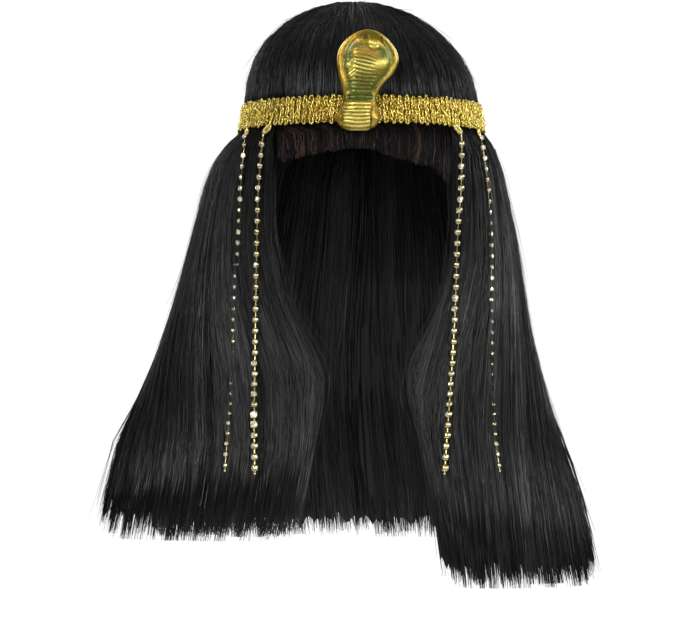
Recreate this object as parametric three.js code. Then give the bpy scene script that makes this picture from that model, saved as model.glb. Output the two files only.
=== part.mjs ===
// Egyptian queen wig: long straight black hair with a blunt fringe, a gold braid band,
// a moulded cobra on the front of the band and four hanging strings of gold cups.
// Millimetres, +Z up, and the face looks along -Y.
// The origin is the top of the hollow for the head. Left is -X and right is +X.
import * as THREE from 'three';

// Driving sizes

// Clearance between neighbouring pieces.
const GAP = 0.3;

// The head is longer than it is wide: every oval ring is stretched this much along Y.
const OVAL_RATIO = 1.262;
const OVAL_STEPS = 48;

const CROWN = {
  halfWidth: 84,
  centreZ: -55,
  topZ: 20,
  hollowHalfWidth: 76,
  hollowTopZ: 0,
  rimZ: -74,
  rimOuter: 87,
  rimInner: 79,
  domeSteps: 8,
};

const BAND = {
  topZ: -54.5,
  bottomZ: CROWN.rimZ,
  thickness: 2.2,
  edgeRound: 0.7,
};
const BAND_BOTTOM_RADIUS = CROWN.rimOuter + GAP + BAND.thickness;

// Hair below the band starts just under the rim of the crown.
const FALL_TOP_Z = CROWN.rimZ - GAP;
const FALL_THICKNESS = { top: 8, bottom: 6 };

// The two side falls. Each row is a level section through three places in plan:
// the edge beside the face, the middle of the sheet and the edge over the shoulder.
const SIDE_COLUMNS = 'z frontX frontY middleX middleY rearX rearY';
const LEFT_FALL = table(SIDE_COLUMNS, [
  [FALL_TOP_Z, -63.7, -75.9, -84.2, -32, -86.5, 20],
  [-82, -64, -75.5, -87.8, -33, -97, 21],
  [-92, -64, -74, -96, -31, -104, 22],
  [-110, -64, -71, -104, -28, -111, 22],
  [-152, -63, -64, -112, -30, -122, 22],
  [-200, -51, -61, -118, -36, -136, 20],
  [-249, -27, -66, -118, -54, -153, 0],
  [-298, -33, -84, -115, -82, -174, -40],
  [-352, -43, -96, -122, -95, -186, -62],
]);
const RIGHT_FALL = table(SIDE_COLUMNS, [
  [FALL_TOP_Z, 63.7, -75.9, 84.2, -32, 86.5, 20],
  [-82, 64, -75.5, 87, -33, 94, 21],
  [-92, 64, -74, 92.5, -31, 98, 22],
  [-110, 64, -71, 97, -28, 102, 22],
  [-152, 64, -64, 103, -30, 111, 22],
  [-200, 54, -61, 106, -36, 118, 20],
  [-249, 31, -66, 104, -55, 129, 2],
  [-298, 40, -84, 104, -84, 143, -38],
  [-342, 49, -95, 108, -95, 156, -58],
  [-388, 55, -101, 112, -102, 166, -72],
]);

// The back fall. Each section is half an oval from the left edge round the back to the right edge.
const BACK_FALL = table('z leftX rightX edgeY backY', [
  [FALL_TOP_Z, -86.5, 86.5, 22, 110],
  [-82, -97, 94, 23, 113],
  [-92, -104, 98, 24, 115],
  [-110, -111, 102, 24, 116],
  [-152, -122, 111, 24.5, 116],
  [-200, -136, 118, 24.5, 112],
  [-249, -151, 128, 38, 112],
  [-298, -160, 140, 66, 118],
  [-336, -160, 147, 82, 122],
  [-370, -158, 150, 90, 123],
]);

// The fringe hangs from the front of the rim. Its cut edge is an arch, lower over the right temple.
const FRINGE = {
  halfAngle: THREE.MathUtils.degToRad(45),
  topRadius: 87,
  tuck: 1.5,
  thickness: 5,
};
const FRINGE_CUT = table('z', [[-99], [-96], [-93], [-90.6], [-97], [-102], [-111]]);

// Faces across and down each sheet of hair.
const SHEET_STEPS = {
  fringe: { across: 24, down: 2 },
  left: { across: 9, down: 20 },
  right: { across: 9, down: 22 },
  back: { across: 20, down: 14 },
};

// Cup strings: the route down the hair as places across (x) at level heights (z).
const CUP = {
  pitch: 7.85,
  radius: 2.3,
  halfHeight: 1.6,
  linkRadius: 0.8,
  sides: 6,
  hairClearance: 1.3,
  routeSteps: 14,
  furthestAcross: 0.7,
};
const CHAIN_ROUTES = {
  front_left: {
    hair: LEFT_FALL,
    ringX: -70,
    route: table('z x', [[-86, -71.5], [-126, -75], [-196, -75.7], [-267, -76], [-318, -75]]),
  },
  side_left: {
    hair: LEFT_FALL,
    ringX: -82,
    route: table('z x', [[-86, -83.5], [-118, -86.4], [-160, -88.6], [-196, -91], [-267, -93], [-316, -96]]),
  },
  front_right: {
    hair: RIGHT_FALL,
    ringX: 69,
    route: table('z x', [[-86, 69.8], [-119, 69.6], [-147, 67.4], [-196, 66], [-232, 64], [-318, 57]]),
  },
  side_right: {
    hair: RIGHT_FALL,
    ringX: 83,
    route: table('z x', [[-86, 85.5], [-118, 90], [-160, 92], [-232, 92], [-289, 92.8], [-316, 95.6]]),
  },
};

// The loop on the band that each string hangs from.
const RING = { radius: 2.4, wire: 0.55 };

// The cobra: a ribbed base on the band, a narrow neck and a spread hood that sways to the right.
const COBRA = {
  bottomZ: -79.8,
  centreX: -3.5,
  rimWidth: 0.2,
  rimHeight: 1.6,
  headHeight: 61,
  headSway: 3.5,
  headRadius: 6.5,
  headDepth: 8,
  seatTopHeight: 20,
  plateHeight: 34,
  hoodFrom: 26,
  hoodTo: 38,
  across: 12,
  along: 28,
};
const COBRA_SECTIONS = table('height halfWidth sway depth', [
  [0, 6, 0, 4],
  [2.2, 11, 0, 7.5],
  [5, 13.8, 0.1, 9.5],
  [8.5, 15.2, 0.1, 10.5],
  [13, 13.6, 0.2, 10.5],
  [18, 11.9, 1, 9],
  [23.5, 11.7, 1.5, 7.5],
  [29, 13.2, 2.3, 6.5],
  [34, 15.8, 3.8, 6],
  [40, 19.2, 5.8, 5.5],
  [48, 21.3, 6.9, 5],
  [55, 20.2, 6.7, 5],
  [61, 16.4, 6.4, 5],
  [65.5, 11.8, 6.7, 4.5],
  [68.3, 7, 6.9, 4],
  [69.6, 2.5, 7, 3],
]);

// Tables and smooth curves through their rows

// Names the columns of a table of numbers: each row becomes an object.
function table(columns, rows) {
  const names = columns.split(' ');
  return rows.map((row) => Object.fromEntries(names.map((name, i) => [name, row[i]])));
}

// One column between the rows: a Catmull-Rom curve whose ends run on straight.
function columnAt(rows, name, t) {
  const last = rows.length - 1;
  const place = THREE.MathUtils.clamp(t, 0, 1) * last;
  const start = Math.min(Math.floor(place), last - 1);
  const s = place - start;
  const b = rows[start][name];
  const c = rows[start + 1][name];
  const a = start > 0 ? rows[start - 1][name] : 2 * b - c;
  const d = start + 2 <= last ? rows[start + 2][name] : 2 * c - b;
  const slopeB = (c - a) / 2;
  const slopeC = (d - b) / 2;
  return b + s * (slopeB + s * (3 * (c - b) - 2 * slopeB - slopeC + s * (2 * (b - c) + slopeB + slopeC)));
}

// The whole row at t, from 0 at the first row to 1 at the last.
function rowAt(rows, t) {
  return Object.fromEntries(Object.keys(rows[0]).map((name) => [name, columnAt(rows, name, t)]));
}

// Finds the t in a range where a steadily changing function reaches a value.
function solve(f, value, low, high) {
  const rising = f(high) > f(low);
  for (let i = 0; i < 40; i += 1) {
    const middle = (low + high) / 2;
    if (f(middle) < value === rising) low = middle;
    else high = middle;
  }
  return (low + high) / 2;
}

// Geometry helpers

// Moves every vertex of a geometry to the place that a function gives for it.
function deform(geometry, placeOf) {
  const position = geometry.attributes.position;
  const corner = new THREE.Vector3();
  for (let i = 0; i < position.count; i += 1) {
    corner.fromBufferAttribute(position, i);
    const place = placeOf(corner);
    position.setXYZ(i, place.x, place.y, place.z);
  }
  return geometry;
}

// A ring or dome: a profile of radius and height turned round the upright axis, then made oval.
function ovalLathe(profile) {
  const points = profile.map(([radius, z]) => new THREE.Vector2(radius, z));
  return new THREE.LatheGeometry(points, OVAL_STEPS).rotateX(Math.PI / 2).scale(1, OVAL_RATIO, 1);
}

// Hair pieces

// Outer edge of a side fall in plan: a parabola through its three places.
function sidePlan(row, u) {
  const controlX = 2 * row.middleX - (row.frontX + row.rearX) / 2;
  const controlY = 2 * row.middleY - (row.frontY + row.rearY) / 2;
  const mix = (front, control, rear) => (1 - u) ** 2 * front + 2 * u * (1 - u) * control + u ** 2 * rear;
  const x = mix(row.frontX, controlX, row.rearX);
  const y = mix(row.frontY, controlY, row.rearY);
  return new THREE.Vector3(x, y, row.z);
}

// Outer edge of the back fall in plan: half an oval.
function backPlan(row, u) {
  const angle = Math.PI * u;
  const x = THREE.MathUtils.lerp(row.leftX, row.rightX, (1 - Math.cos(angle)) / 2);
  return new THREE.Vector3(x, THREE.MathUtils.lerp(row.edgeY, row.backY, Math.sin(angle)), row.z);
}

// Sheets run clockwise seen from above: left front, left rear, back, right rear, right front.
const leftSurface = (u, v) => sidePlan(rowAt(LEFT_FALL, v), u);
const rightSurface = (u, v) => sidePlan(rowAt(RIGHT_FALL, v), 1 - u);
const backSurface = (u, v) => backPlan(rowAt(BACK_FALL, v), u);

// The fringe is an arc of the oval rim, from right to left, that tucks in towards the forehead.
function fringeSurface(u, v) {
  const angle = THREE.MathUtils.lerp(FRINGE.halfAngle, -FRINGE.halfAngle, u);
  const radius = FRINGE.topRadius - FRINGE.tuck * v * v;
  const z = THREE.MathUtils.lerp(FALL_TOP_Z, columnAt(FRINGE_CUT, 'z', 1 - u), v);
  return new THREE.Vector3(radius * Math.sin(angle), -radius * OVAL_RATIO * Math.cos(angle), z);
}

// Level direction from the outer surface into the hair.
function inwardAt(surface, u, v) {
  const step = 1e-3;
  const along = surface(u + step, v).sub(surface(u - step, v));
  return new THREE.Vector3(along.y, -along.x, 0).normalize();
}

// A closed sheet of hair with an outer surface and a thickness that changes from top to bottom.
function hairSheet(surface, thickness, { across, down }) {
  return deform(new THREE.BoxGeometry(1, 1, 1, across, 1, down), (corner) => {
    const u = corner.x + 0.5;
    const v = 0.5 - corner.z;
    const depth = (0.5 - corner.y) * THREE.MathUtils.lerp(thickness.top, thickness.bottom, v);
    return surface(u, v).addScaledVector(inwardAt(surface, u, v), depth);
  });
}

// The crown: an oval dome over the head hollow, from the top down the outside, over the rim and up inside.
function crownGeometry() {
  const arc = (halfWidth, height) => Array.from({ length: CROWN.domeSteps + 1 }, (_, i) => {
    const angle = (Math.PI / 2) * (i / CROWN.domeSteps);
    return [halfWidth * Math.sin(angle), CROWN.centreZ + height * Math.cos(angle)];
  });
  const outside = arc(CROWN.halfWidth, CROWN.topZ - CROWN.centreZ);
  const inside = arc(CROWN.hollowHalfWidth, CROWN.hollowTopZ - CROWN.centreZ).reverse();
  outside[0][0] = 0;
  inside[CROWN.domeSteps][0] = 0;
  const rim = [[CROWN.rimOuter, CROWN.rimZ], [CROWN.rimInner, CROWN.rimZ]];
  return ovalLathe([...outside, ...rim, ...inside].reverse());
}

// Head band

// A flat ring with rounded outer edges that lies on the hair and widens downwards with it.
function bandGeometry() {
  const insideTop = CROWN.halfWidth + GAP;
  const insideBottom = CROWN.rimOuter + GAP;
  const outsideTop = insideTop + BAND.thickness;
  const outsideBottom = insideBottom + BAND.thickness;
  const round = BAND.edgeRound;
  return ovalLathe([
    [insideBottom, BAND.bottomZ],
    [outsideBottom - round, BAND.bottomZ],
    [outsideBottom, BAND.bottomZ + round],
    [outsideTop, BAND.topZ - round],
    [outsideTop - round, BAND.topZ],
    [insideTop, BAND.topZ],
    [insideBottom, BAND.bottomZ],
  ]);
}

// Place on the widest line of the band's front, with its outward direction.
function bandFront(x) {
  const depth = BAND_BOTTOM_RADIUS * OVAL_RATIO;
  const y = -depth * Math.sqrt(1 - (x / BAND_BOTTOM_RADIUS) ** 2);
  const outward = new THREE.Vector3(x / BAND_BOTTOM_RADIUS ** 2, y / depth ** 2, 0).normalize();
  return { point: new THREE.Vector3(x, y, BAND.bottomZ), outward };
}

// Cup strings and their loops

// A loop that lies flat on the band, with its lowest point at the band's lower edge.
function ringPlace(x) {
  const { point, outward } = bandFront(x);
  const centre = point.clone().addScaledVector(outward, GAP + RING.wire);
  centre.z += RING.radius + RING.wire;
  return { centre, outward };
}

// Place of a string's thread over a spot of the hair, one cup radius and a clearance off the surface.
function threadOver(hair, u, v) {
  const step = 1e-3;
  const across = sidePlan(rowAt(hair, v), u + step).sub(sidePlan(rowAt(hair, v), u - step));
  const down = sidePlan(rowAt(hair, v + step), u).sub(sidePlan(rowAt(hair, v - step), u));
  const outward = new THREE.Vector3().crossVectors(down, across).normalize();
  if (outward.y > 0) outward.negate();
  return sidePlan(rowAt(hair, v), u).addScaledVector(outward, CUP.radius + CUP.hairClearance);
}

// The spot of the hair at a level where the thread over it hangs at a place across.
function overHair(hair, x, z) {
  const v = solve((t) => columnAt(hair, 'z', t), z, 0, 1);
  const u = solve((t) => threadOver(hair, t, v).x, x, 0, CUP.furthestAcross);
  return threadOver(hair, u, v);
}

// A string of cups: a turned profile of cups and links, bent along its route from the loop downwards.
function chainGeometry({ hair, ringX, route }) {
  const top = ringPlace(ringX).centre;
  top.z = BAND.bottomZ - 3 * GAP;
  const places = [top];
  for (let i = 0; i <= CUP.routeSteps; i += 1) {
    const { x, z } = rowAt(route, i / CUP.routeSteps);
    places.push(overHair(hair, x, z));
  }
  const curve = new THREE.CatmullRomCurve3(places);
  const length = curve.getLength();
  const cups = Math.round(length / CUP.pitch);
  const pitch = length / cups;
  const profile = [new THREE.Vector2(0, 0), new THREE.Vector2(CUP.linkRadius, 0)];
  for (let i = 0; i < cups; i += 1) {
    const middle = (i + 0.5) * pitch;
    profile.push(new THREE.Vector2(CUP.radius, middle - CUP.halfHeight));
    profile.push(new THREE.Vector2(CUP.radius, middle + CUP.halfHeight));
    profile.push(new THREE.Vector2(CUP.linkRadius, (i + 1) * pitch));
  }
  profile.push(new THREE.Vector2(0, length));
  const sideways = new THREE.Vector3(1, 0, 0);
  return deform(new THREE.LatheGeometry(profile, CUP.sides), (corner) => {
    const s = THREE.MathUtils.clamp(corner.y / length, 0, 1);
    const tangent = curve.getTangentAt(s);
    const forward = new THREE.Vector3().crossVectors(sideways, tangent).normalize();
    const right = new THREE.Vector3().crossVectors(tangent, forward);
    return curve.getPointAt(s).addScaledVector(right, corner.x).addScaledVector(forward, corner.z);
  });
}

// Cobra ornament

// Depth of the cobra's face: a hollow field inside a raised rim, with the head standing out near the top.
function cobraDepth(section, u) {
  const x = section.sway + u * section.halfWidth;
  const rim = THREE.MathUtils.smoothstep(Math.abs(u), 1 - 2 * COBRA.rimWidth, 1 - COBRA.rimWidth);
  const edge = 1 - 0.5 * u ** 8;
  const fromHead = Math.hypot(x - section.sway - COBRA.headSway, section.height - COBRA.headHeight);
  const head = COBRA.headDepth * Math.exp(-((fromHead / COBRA.headRadius) ** 2));
  const hood = THREE.MathUtils.smoothstep(section.height, COBRA.hoodFrom, COBRA.hoodTo);
  const round = THREE.MathUtils.lerp(Math.sqrt(1 - 0.75 * u * u), edge, hood);
  return section.depth * round + hood * COBRA.rimHeight * rim * edge + head;
}

// A relief plate: the back follows the curve of the band, and the front stands out by its depth.
function cobraGeometry() {
  const seat = bandFront(COBRA.centreX).point.y - GAP;
  return deform(new THREE.BoxGeometry(1, 1, 1, COBRA.across, 1, COBRA.along), (corner) => {
    const u = 2 * corner.x;
    const section = rowAt(COBRA_SECTIONS, corner.z + 0.5);
    const x = COBRA.centreX + section.sway + u * section.halfWidth;
    const aboveBand = THREE.MathUtils.smoothstep(section.height, COBRA.seatTopHeight, COBRA.plateHeight);
    const back = THREE.MathUtils.lerp(bandFront(x).point.y - GAP, seat, aboveBand);
    const front = seat - cobraDepth(section, u);
    return new THREE.Vector3(x, corner.y > 0 ? back : front, COBRA.bottomZ + section.height);
  });
}

// Finishes

const FINISHES = {
  hair: { color: 0x1c1b1c, roughness: 0.42, metalness: 0 },
  braid: { color: 0xb08a2e, roughness: 0.35, metalness: 0.8 },
  cobra: { color: 0x9c8a34, roughness: 0.3, metalness: 0.6 },
  cups: { color: 0xd2bd78, roughness: 0.2, metalness: 0.9 },
};

// Assembly

const wig = new THREE.Group();

function addPiece(name, geometry, finish) {
  const mesh = new THREE.Mesh(geometry, new THREE.MeshStandardMaterial(FINISHES[finish]));
  mesh.name = name;
  wig.add(mesh);
  return mesh;
}

const fringeThickness = { top: FRINGE.thickness, bottom: FRINGE.thickness };
addPiece('crown_hair', crownGeometry(), 'hair');
addPiece('fringe_hair', hairSheet(fringeSurface, fringeThickness, SHEET_STEPS.fringe), 'hair');
addPiece('left_fall', hairSheet(leftSurface, FALL_THICKNESS, SHEET_STEPS.left), 'hair');
addPiece('right_fall', hairSheet(rightSurface, FALL_THICKNESS, SHEET_STEPS.right), 'hair');
addPiece('back_fall', hairSheet(backSurface, FALL_THICKNESS, SHEET_STEPS.back), 'hair');
addPiece('head_band', bandGeometry(), 'braid');
addPiece('cobra_ornament', cobraGeometry(), 'cobra');

for (const [name, chain] of Object.entries(CHAIN_ROUTES)) {
  const { centre, outward } = ringPlace(chain.ringX);
  const ring = addPiece(`ring_${name}`, new THREE.TorusGeometry(RING.radius, RING.wire, 6, 12), 'cups');
  ring.position.copy(centre);
  ring.quaternion.setFromUnitVectors(new THREE.Vector3(0, 0, 1), outward);
  addPiece(`chain_${name}`, chainGeometry(chain), 'cups');
}

export default wig;
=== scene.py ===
"""Looks of an Egyptian queen wig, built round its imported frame.

Sizes are in millimetres until make_piece turns them into metres. The face looks along -Y,
left is -X and right is +X, and the origin is the top of the hollow for the head.
"""

import bpy
import numpy as np
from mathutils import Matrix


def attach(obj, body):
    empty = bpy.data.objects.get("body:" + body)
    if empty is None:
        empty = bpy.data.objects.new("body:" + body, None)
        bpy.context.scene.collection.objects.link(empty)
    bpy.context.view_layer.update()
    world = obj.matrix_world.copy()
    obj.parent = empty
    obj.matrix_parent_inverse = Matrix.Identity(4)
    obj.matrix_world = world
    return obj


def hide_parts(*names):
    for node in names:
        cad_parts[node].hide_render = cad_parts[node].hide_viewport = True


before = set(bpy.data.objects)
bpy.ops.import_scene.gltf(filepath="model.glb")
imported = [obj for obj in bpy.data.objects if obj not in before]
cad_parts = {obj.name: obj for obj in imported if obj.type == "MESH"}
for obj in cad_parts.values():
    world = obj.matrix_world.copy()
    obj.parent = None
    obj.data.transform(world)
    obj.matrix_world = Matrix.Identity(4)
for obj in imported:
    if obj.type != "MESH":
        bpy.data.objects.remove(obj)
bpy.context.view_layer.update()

MM = 0.001
TURN = 2 * np.pi
BODY = "root"
MAP = "OFBake"

# Slots of the frame's materials
HAIR = "hair"
BRAID = "gold_braid"
CUPS = "gold_cups"
GILT = "gilt_cobra"

# Sizes shared with the frame
OVAL_RATIO = 1.262
CROWN_HALF_WIDTH = 84.0
CROWN_CENTRE_Z = -55.0
CROWN_TOP_Z = 20.0
HOLLOW_HALF_WIDTH = 76.0
HOLLOW_TOP_Z = 0.0
RIM_Z = -74.0
RIM_OUTER = 87.0
RIM_INNER = 79.0
BAND_TOP_Z = -54.5
BAND_BOTTOM_Z = -74.0
BAND_OUTER_TOP = 86.5
BAND_OUTER_BOTTOM = 89.5
FALL_TOP_Z = -74.3
FALL_THICKNESS_TOP = 8.0
FALL_THICKNESS_BOTTOM = 6.0

# Side falls: z, front x, front y, middle x, middle y, rear x, rear y of level sections
LEFT_FALL = [
    [FALL_TOP_Z, -63.7, -75.9, -84.2, -32, -86.5, 20],
    [-82, -64, -75.5, -87.8, -33, -97, 21],
    [-92, -64, -74, -96, -31, -104, 22],
    [-110, -64, -71, -104, -28, -111, 22],
    [-152, -63, -64, -112, -30, -122, 22],
    [-200, -51, -61, -118, -36, -136, 20],
    [-249, -27, -66, -118, -54, -153, 0],
    [-298, -33, -84, -115, -82, -174, -40],
    [-352, -43, -96, -122, -95, -186, -62],
]
RIGHT_FALL = [
    [FALL_TOP_Z, 63.7, -75.9, 84.2, -32, 86.5, 20],
    [-82, 64, -75.5, 87, -33, 94, 21],
    [-92, 64, -74, 92.5, -31, 98, 22],
    [-110, 64, -71, 97, -28, 102, 22],
    [-152, 64, -64, 103, -30, 111, 22],
    [-200, 54, -61, 106, -36, 118, 20],
    [-249, 31, -66, 104, -55, 129, 2],
    [-298, 40, -84, 104, -84, 143, -38],
    [-342, 49, -95, 108, -95, 156, -58],
    [-388, 55, -101, 112, -102, 166, -72],
]
# Back fall: z, left x, right x, edge y, back y of level sections
BACK_FALL = [
    [FALL_TOP_Z, -86.5, 86.5, 22, 110],
    [-82, -97, 94, 23, 113],
    [-92, -104, 98, 24, 115],
    [-110, -111, 102, 24, 116],
    [-152, -122, 111, 24.5, 116],
    [-200, -136, 118, 24.5, 112],
    [-249, -151, 128, 38, 112],
    [-298, -160, 140, 66, 118],
    [-336, -160, 147, 82, 122],
    [-370, -158, 150, 90, 123],
]
# Height of the fringe's cut, evenly in angle from left to right
FRINGE_CUT = [[-99], [-96], [-93], [-90.6], [-97], [-102], [-111]]
FRINGE_HALF_ANGLE = np.pi / 4
FRINGE_TUCK = 1.5
FRINGE_THICKNESS = 5.0

# The dome leans to the left by this much at its top, and its strands leave a short line on top
CROWN_LEAN = 5.5
PARTING_HALF_WIDTH = 2.0
PARTING_HALF_LENGTH = 14.0
PARTING_Y = 8.0
RIM_SPAN = 0.25


# Camera at the photograph's viewing angle

CAMERA_PLACE = (-15.75, -2085.0, -209.0)
CAMERA_LENS = 151.26

camera_data = bpy.data.cameras.new("photo_camera")
camera_data.lens = CAMERA_LENS
camera_data.sensor_width = 36.0
camera_data.clip_end = 30.0
camera = bpy.data.objects.new("photo_camera", camera_data)
camera.location = [value * MM for value in CAMERA_PLACE]
camera.rotation_euler = (np.pi / 2, 0, 0)
bpy.context.scene.collection.objects.link(camera)
bpy.context.scene.camera = camera


# Curves and small sums

def smoothstep(low, high, value):
    """0 below low, 1 above high, and 3t^2 - 2t^3 between them."""
    t = np.clip((value - low) / (high - low), 0, 1)
    return t * t * (3 - 2 * t)


def blend(first, second, share):
    """The value a share of the way from the first to the second."""
    return first + (second - first) * share


def bell(distance, width):
    """A bump that falls off as e to the minus square of distance over width."""
    return np.exp(-((distance / width) ** 2))


def unit(vectors):
    """Vectors divided by their own length."""
    return vectors / np.maximum(np.linalg.norm(vectors, axis=-1, keepdims=True), 1e-9)


def smooth_rows(table, t):
    """All columns of a table at places t from 0, its first row, to 1, its last.

    Catmull-Rom curves go through the rows, and run on straight past both ends.
    """
    rows = np.asarray(table, float)
    last = len(rows) - 1
    padded = np.vstack([2 * rows[0] - rows[1], rows, 2 * rows[-1] - rows[-2]])
    place = np.asarray(t, float) * last
    inside = np.clip(place, 0, last)
    start = np.minimum(inside.astype(int), last - 1)
    s = (inside - start)[..., None]
    a, b, c, d = (padded[start + i] for i in range(4))
    slope_b = (c - a) / 2
    slope_c = (d - b) / 2
    bend = 3 * (c - b) - 2 * slope_b - slope_c
    turn = 2 * (b - c) + slope_b + slope_c
    past = (place - inside)[..., None]
    end_slope = np.where(past > 0, rows[-1] - rows[-2], rows[1] - rows[0])
    return b + s * (slope_b + s * (bend + s * turn)) + past * end_slope


def lengths_along(points):
    """Length along a run of points up to each of them."""
    steps = np.linalg.norm(np.diff(points, axis=0), axis=1)
    return np.concatenate([[0], np.cumsum(steps)])


def rows_at(wanted, lengths, rows):
    """Rows of values between those of a run, at wanted lengths along it."""
    return np.stack([np.interp(wanted, lengths, column) for column in rows.T], axis=-1)


# Faces and pieces

def grid_faces(rows, columns, wrap_rows=False, wrap_columns=False):
    """Quads of a grid of points numbered row by row, and each corner's share of the way across and down."""
    row_steps = rows if wrap_rows else rows - 1
    column_steps = columns if wrap_columns else columns - 1
    r, c = np.meshgrid(np.arange(row_steps), np.arange(column_steps), indexing="ij")
    corner_rows = np.stack([r, r + 1, r + 1, r], axis=-1).reshape(-1, 4)
    corner_columns = np.stack([c, c, c + 1, c + 1], axis=-1).reshape(-1, 4)
    faces = (corner_rows % rows) * columns + corner_columns % columns
    uv = np.stack([corner_columns / column_steps, corner_rows / row_steps], axis=-1)
    return faces, uv


def tube_faces(count, rings, sides, closed=False):
    """Quads round a number of equal tubes, with a face over each open end, and the corners' shares."""
    faces, uv = grid_faces(rings, sides, wrap_rows=closed, wrap_columns=True)
    first = (np.arange(count) * rings * sides)[:, None, None]
    quads = (faces[None] + first).reshape(-1, 4)
    quad_uv = np.broadcast_to(uv[None], (count,) + uv.shape).reshape(-1, 4, 2)
    if closed:
        return [quads], [quad_uv]
    start = np.arange(sides)[None] + first[:, 0]
    end = np.arange(sides)[None, ::-1] + first[:, 0] + (rings - 1) * sides
    caps = np.concatenate([start, end])
    cap_uv = np.zeros((len(caps), sides, 2))
    cap_uv[..., 0] = np.linspace(0, 1, sides)
    cap_uv[:, :, 1] = np.linspace(0, 0.02, sides)
    return [quads, caps], [quad_uv, cap_uv]


def tubes(paths, outward, half_width, half_height, sides, lead=0.0):
    """Rings of points round many paths at once: an oval section, wide across the outward direction.

    At angle q the point is the path plus width x cos q sideways plus height x sin q outwards.
    """
    along = unit(np.gradient(paths, axis=1))
    sideways = unit(np.cross(along, outward))
    upward = np.cross(sideways, along)
    angle = TURN * np.arange(sides) / sides + lead
    across = half_width[..., None, None] * np.cos(angle)[:, None] * sideways[:, :, None, :]
    above = half_height[..., None, None] * np.sin(angle)[:, None] * upward[:, :, None, :]
    return paths[:, :, None, :] + across + above


def turned(profile, centres, axes, across, sides, corners=0.0):
    """A profile of radius and height turned round an axis at every centre.

    With corners, a cosine of four times the angle widens the radius by that share at four corners and
    narrows it between them.
    """
    across = unit(across - np.sum(across * axes, axis=-1, keepdims=True) * axes)
    other = np.cross(across, axes)
    angle = TURN * np.arange(sides) / sides
    round_about = np.cos(angle)[:, None] * across[:, None, :] + np.sin(angle)[:, None] * other[:, None, :]
    radius, height = np.asarray(profile, float).T
    round_about = round_about * (1 - corners * np.cos(4 * angle))[:, None]
    flat = radius[:, None, None] * round_about[:, None]
    return centres[:, None, None, :] + flat + height[:, None, None] * axes[:, None, None, :]


def joined(parts):
    """One list of points, faces and corner places from several."""
    points, faces, uvs = [], [], []
    first = 0
    for part_points, part_faces, part_uvs in parts:
        part_points = part_points.reshape(-1, 3)
        points.append(part_points)
        faces.extend(face + first for face in part_faces)
        uvs.extend(part_uvs)
        first += len(part_points)
    return np.concatenate(points), faces, uvs


def signed_volume(points, faces):
    """Six times the volume inside the faces, negative where they point inwards.

    It is a sum over fans of triangles.
    """
    total = 0.0
    for group in faces:
        for i in range(1, group.shape[1] - 1):
            a, b, c = points[group[:, 0]], points[group[:, i]], points[group[:, i + 1]]
            total += np.sum(a * np.cross(b, c))
    return total


def make_piece(name, points, faces, uvs, material, slot, nodes=(), smooth=True, colours=None):
    """Puts points in mm, faces and corner places into a mesh piece that rides on the wig."""
    points = np.asarray(points, float).reshape(-1, 3)
    if signed_volume(points, faces) < 0:
        faces = [group[:, ::-1] for group in faces]
        uvs = [group[:, ::-1] for group in uvs]
    corners = np.concatenate([group.ravel() for group in faces])
    sizes = np.concatenate([np.full(len(group), group.shape[1]) for group in faces])
    mesh = bpy.data.meshes.new(name)
    mesh.vertices.add(len(points))
    mesh.vertices.foreach_set("co", (points * MM).ravel())
    mesh.loops.add(len(corners))
    mesh.loops.foreach_set("vertex_index", corners.astype(np.int32))
    mesh.polygons.add(len(sizes))
    mesh.polygons.foreach_set("loop_start", (np.cumsum(sizes) - sizes).astype(np.int32))
    mesh.polygons.foreach_set("use_smooth", np.full(len(sizes), smooth))
    uv = np.concatenate([group.reshape(-1, 2) for group in uvs])
    mesh.uv_layers.new(name=MAP).data.foreach_set("uv", uv.ravel())
    if colours is not None:
        layer = mesh.color_attributes.new("relief", "FLOAT_COLOR", "POINT")
        layer.data.foreach_set("color", colours.reshape(-1, 4).ravel())
    mesh.update(calc_edges=True)
    mesh.validate()
    mesh.materials.append(material)
    piece = bpy.data.objects.new(name, mesh)
    bpy.context.scene.collection.objects.link(piece)
    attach(piece, BODY)
    if nodes:
        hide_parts(*nodes)
    return piece


# Materials

SHADER = "Principled BSDF"
STRAND_COLUMNS = 32
YARN_COLUMNS = 16
# Most values of a noise lie between these
NOISE_LOW = 0.3
NOISE_HIGH = 0.7


def new_material(name):
    """A material with its node tree and its shader."""
    material = bpy.data.materials.new(name)
    material.use_nodes = True
    tree = material.node_tree
    return material, tree, tree.nodes[SHADER]


def feed(tree, node, inputs):
    """Sets a node's sockets: a socket value is linked, and any other is set."""
    for key, value in inputs.items():
        if isinstance(value, bpy.types.NodeSocket):
            tree.links.new(value, node.inputs[key])
        else:
            node.inputs[key].default_value = value
    return node


def add_node(tree, kind, inputs=None, **settings):
    """A new node with its settings and sockets."""
    node = tree.nodes.new(kind)
    for key, value in settings.items():
        setattr(node, key, value)
    return feed(tree, node, inputs or {})


def ramp(tree, factor, stops):
    """A colour ramp through stops of place and colour."""
    node = add_node(tree, "ShaderNodeValToRGB", {"Fac": factor})
    elements = node.color_ramp.elements
    while len(elements) < len(stops):
        elements.new(0.5)
    for element, (place, colour) in zip(elements, stops):
        element.position = place
        element.color = (*colour, 1)
    return node.outputs["Color"]


def span(tree, value, low, high, to_low, to_high):
    """A value carried from one range to another."""
    sockets = {"Value": value, "From Min": low, "From Max": high, "To Min": to_low, "To Max": to_high}
    return add_node(tree, "ShaderNodeMapRange", sockets).outputs["Result"]


def maths(tree, operation, values, clamp=False):
    """The result of one operation on one or two values."""
    return add_node(
        tree, "ShaderNodeMath", dict(enumerate(values)), operation=operation, use_clamp=clamp
    ).outputs[0]


def mix_colours(tree, factor, first, second):
    """One colour or the other by a factor."""
    node = add_node(tree, "ShaderNodeMix", data_type="RGBA")
    feed(tree, node, {0: factor, 6: first, 7: second})
    return node.outputs[2]


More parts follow.
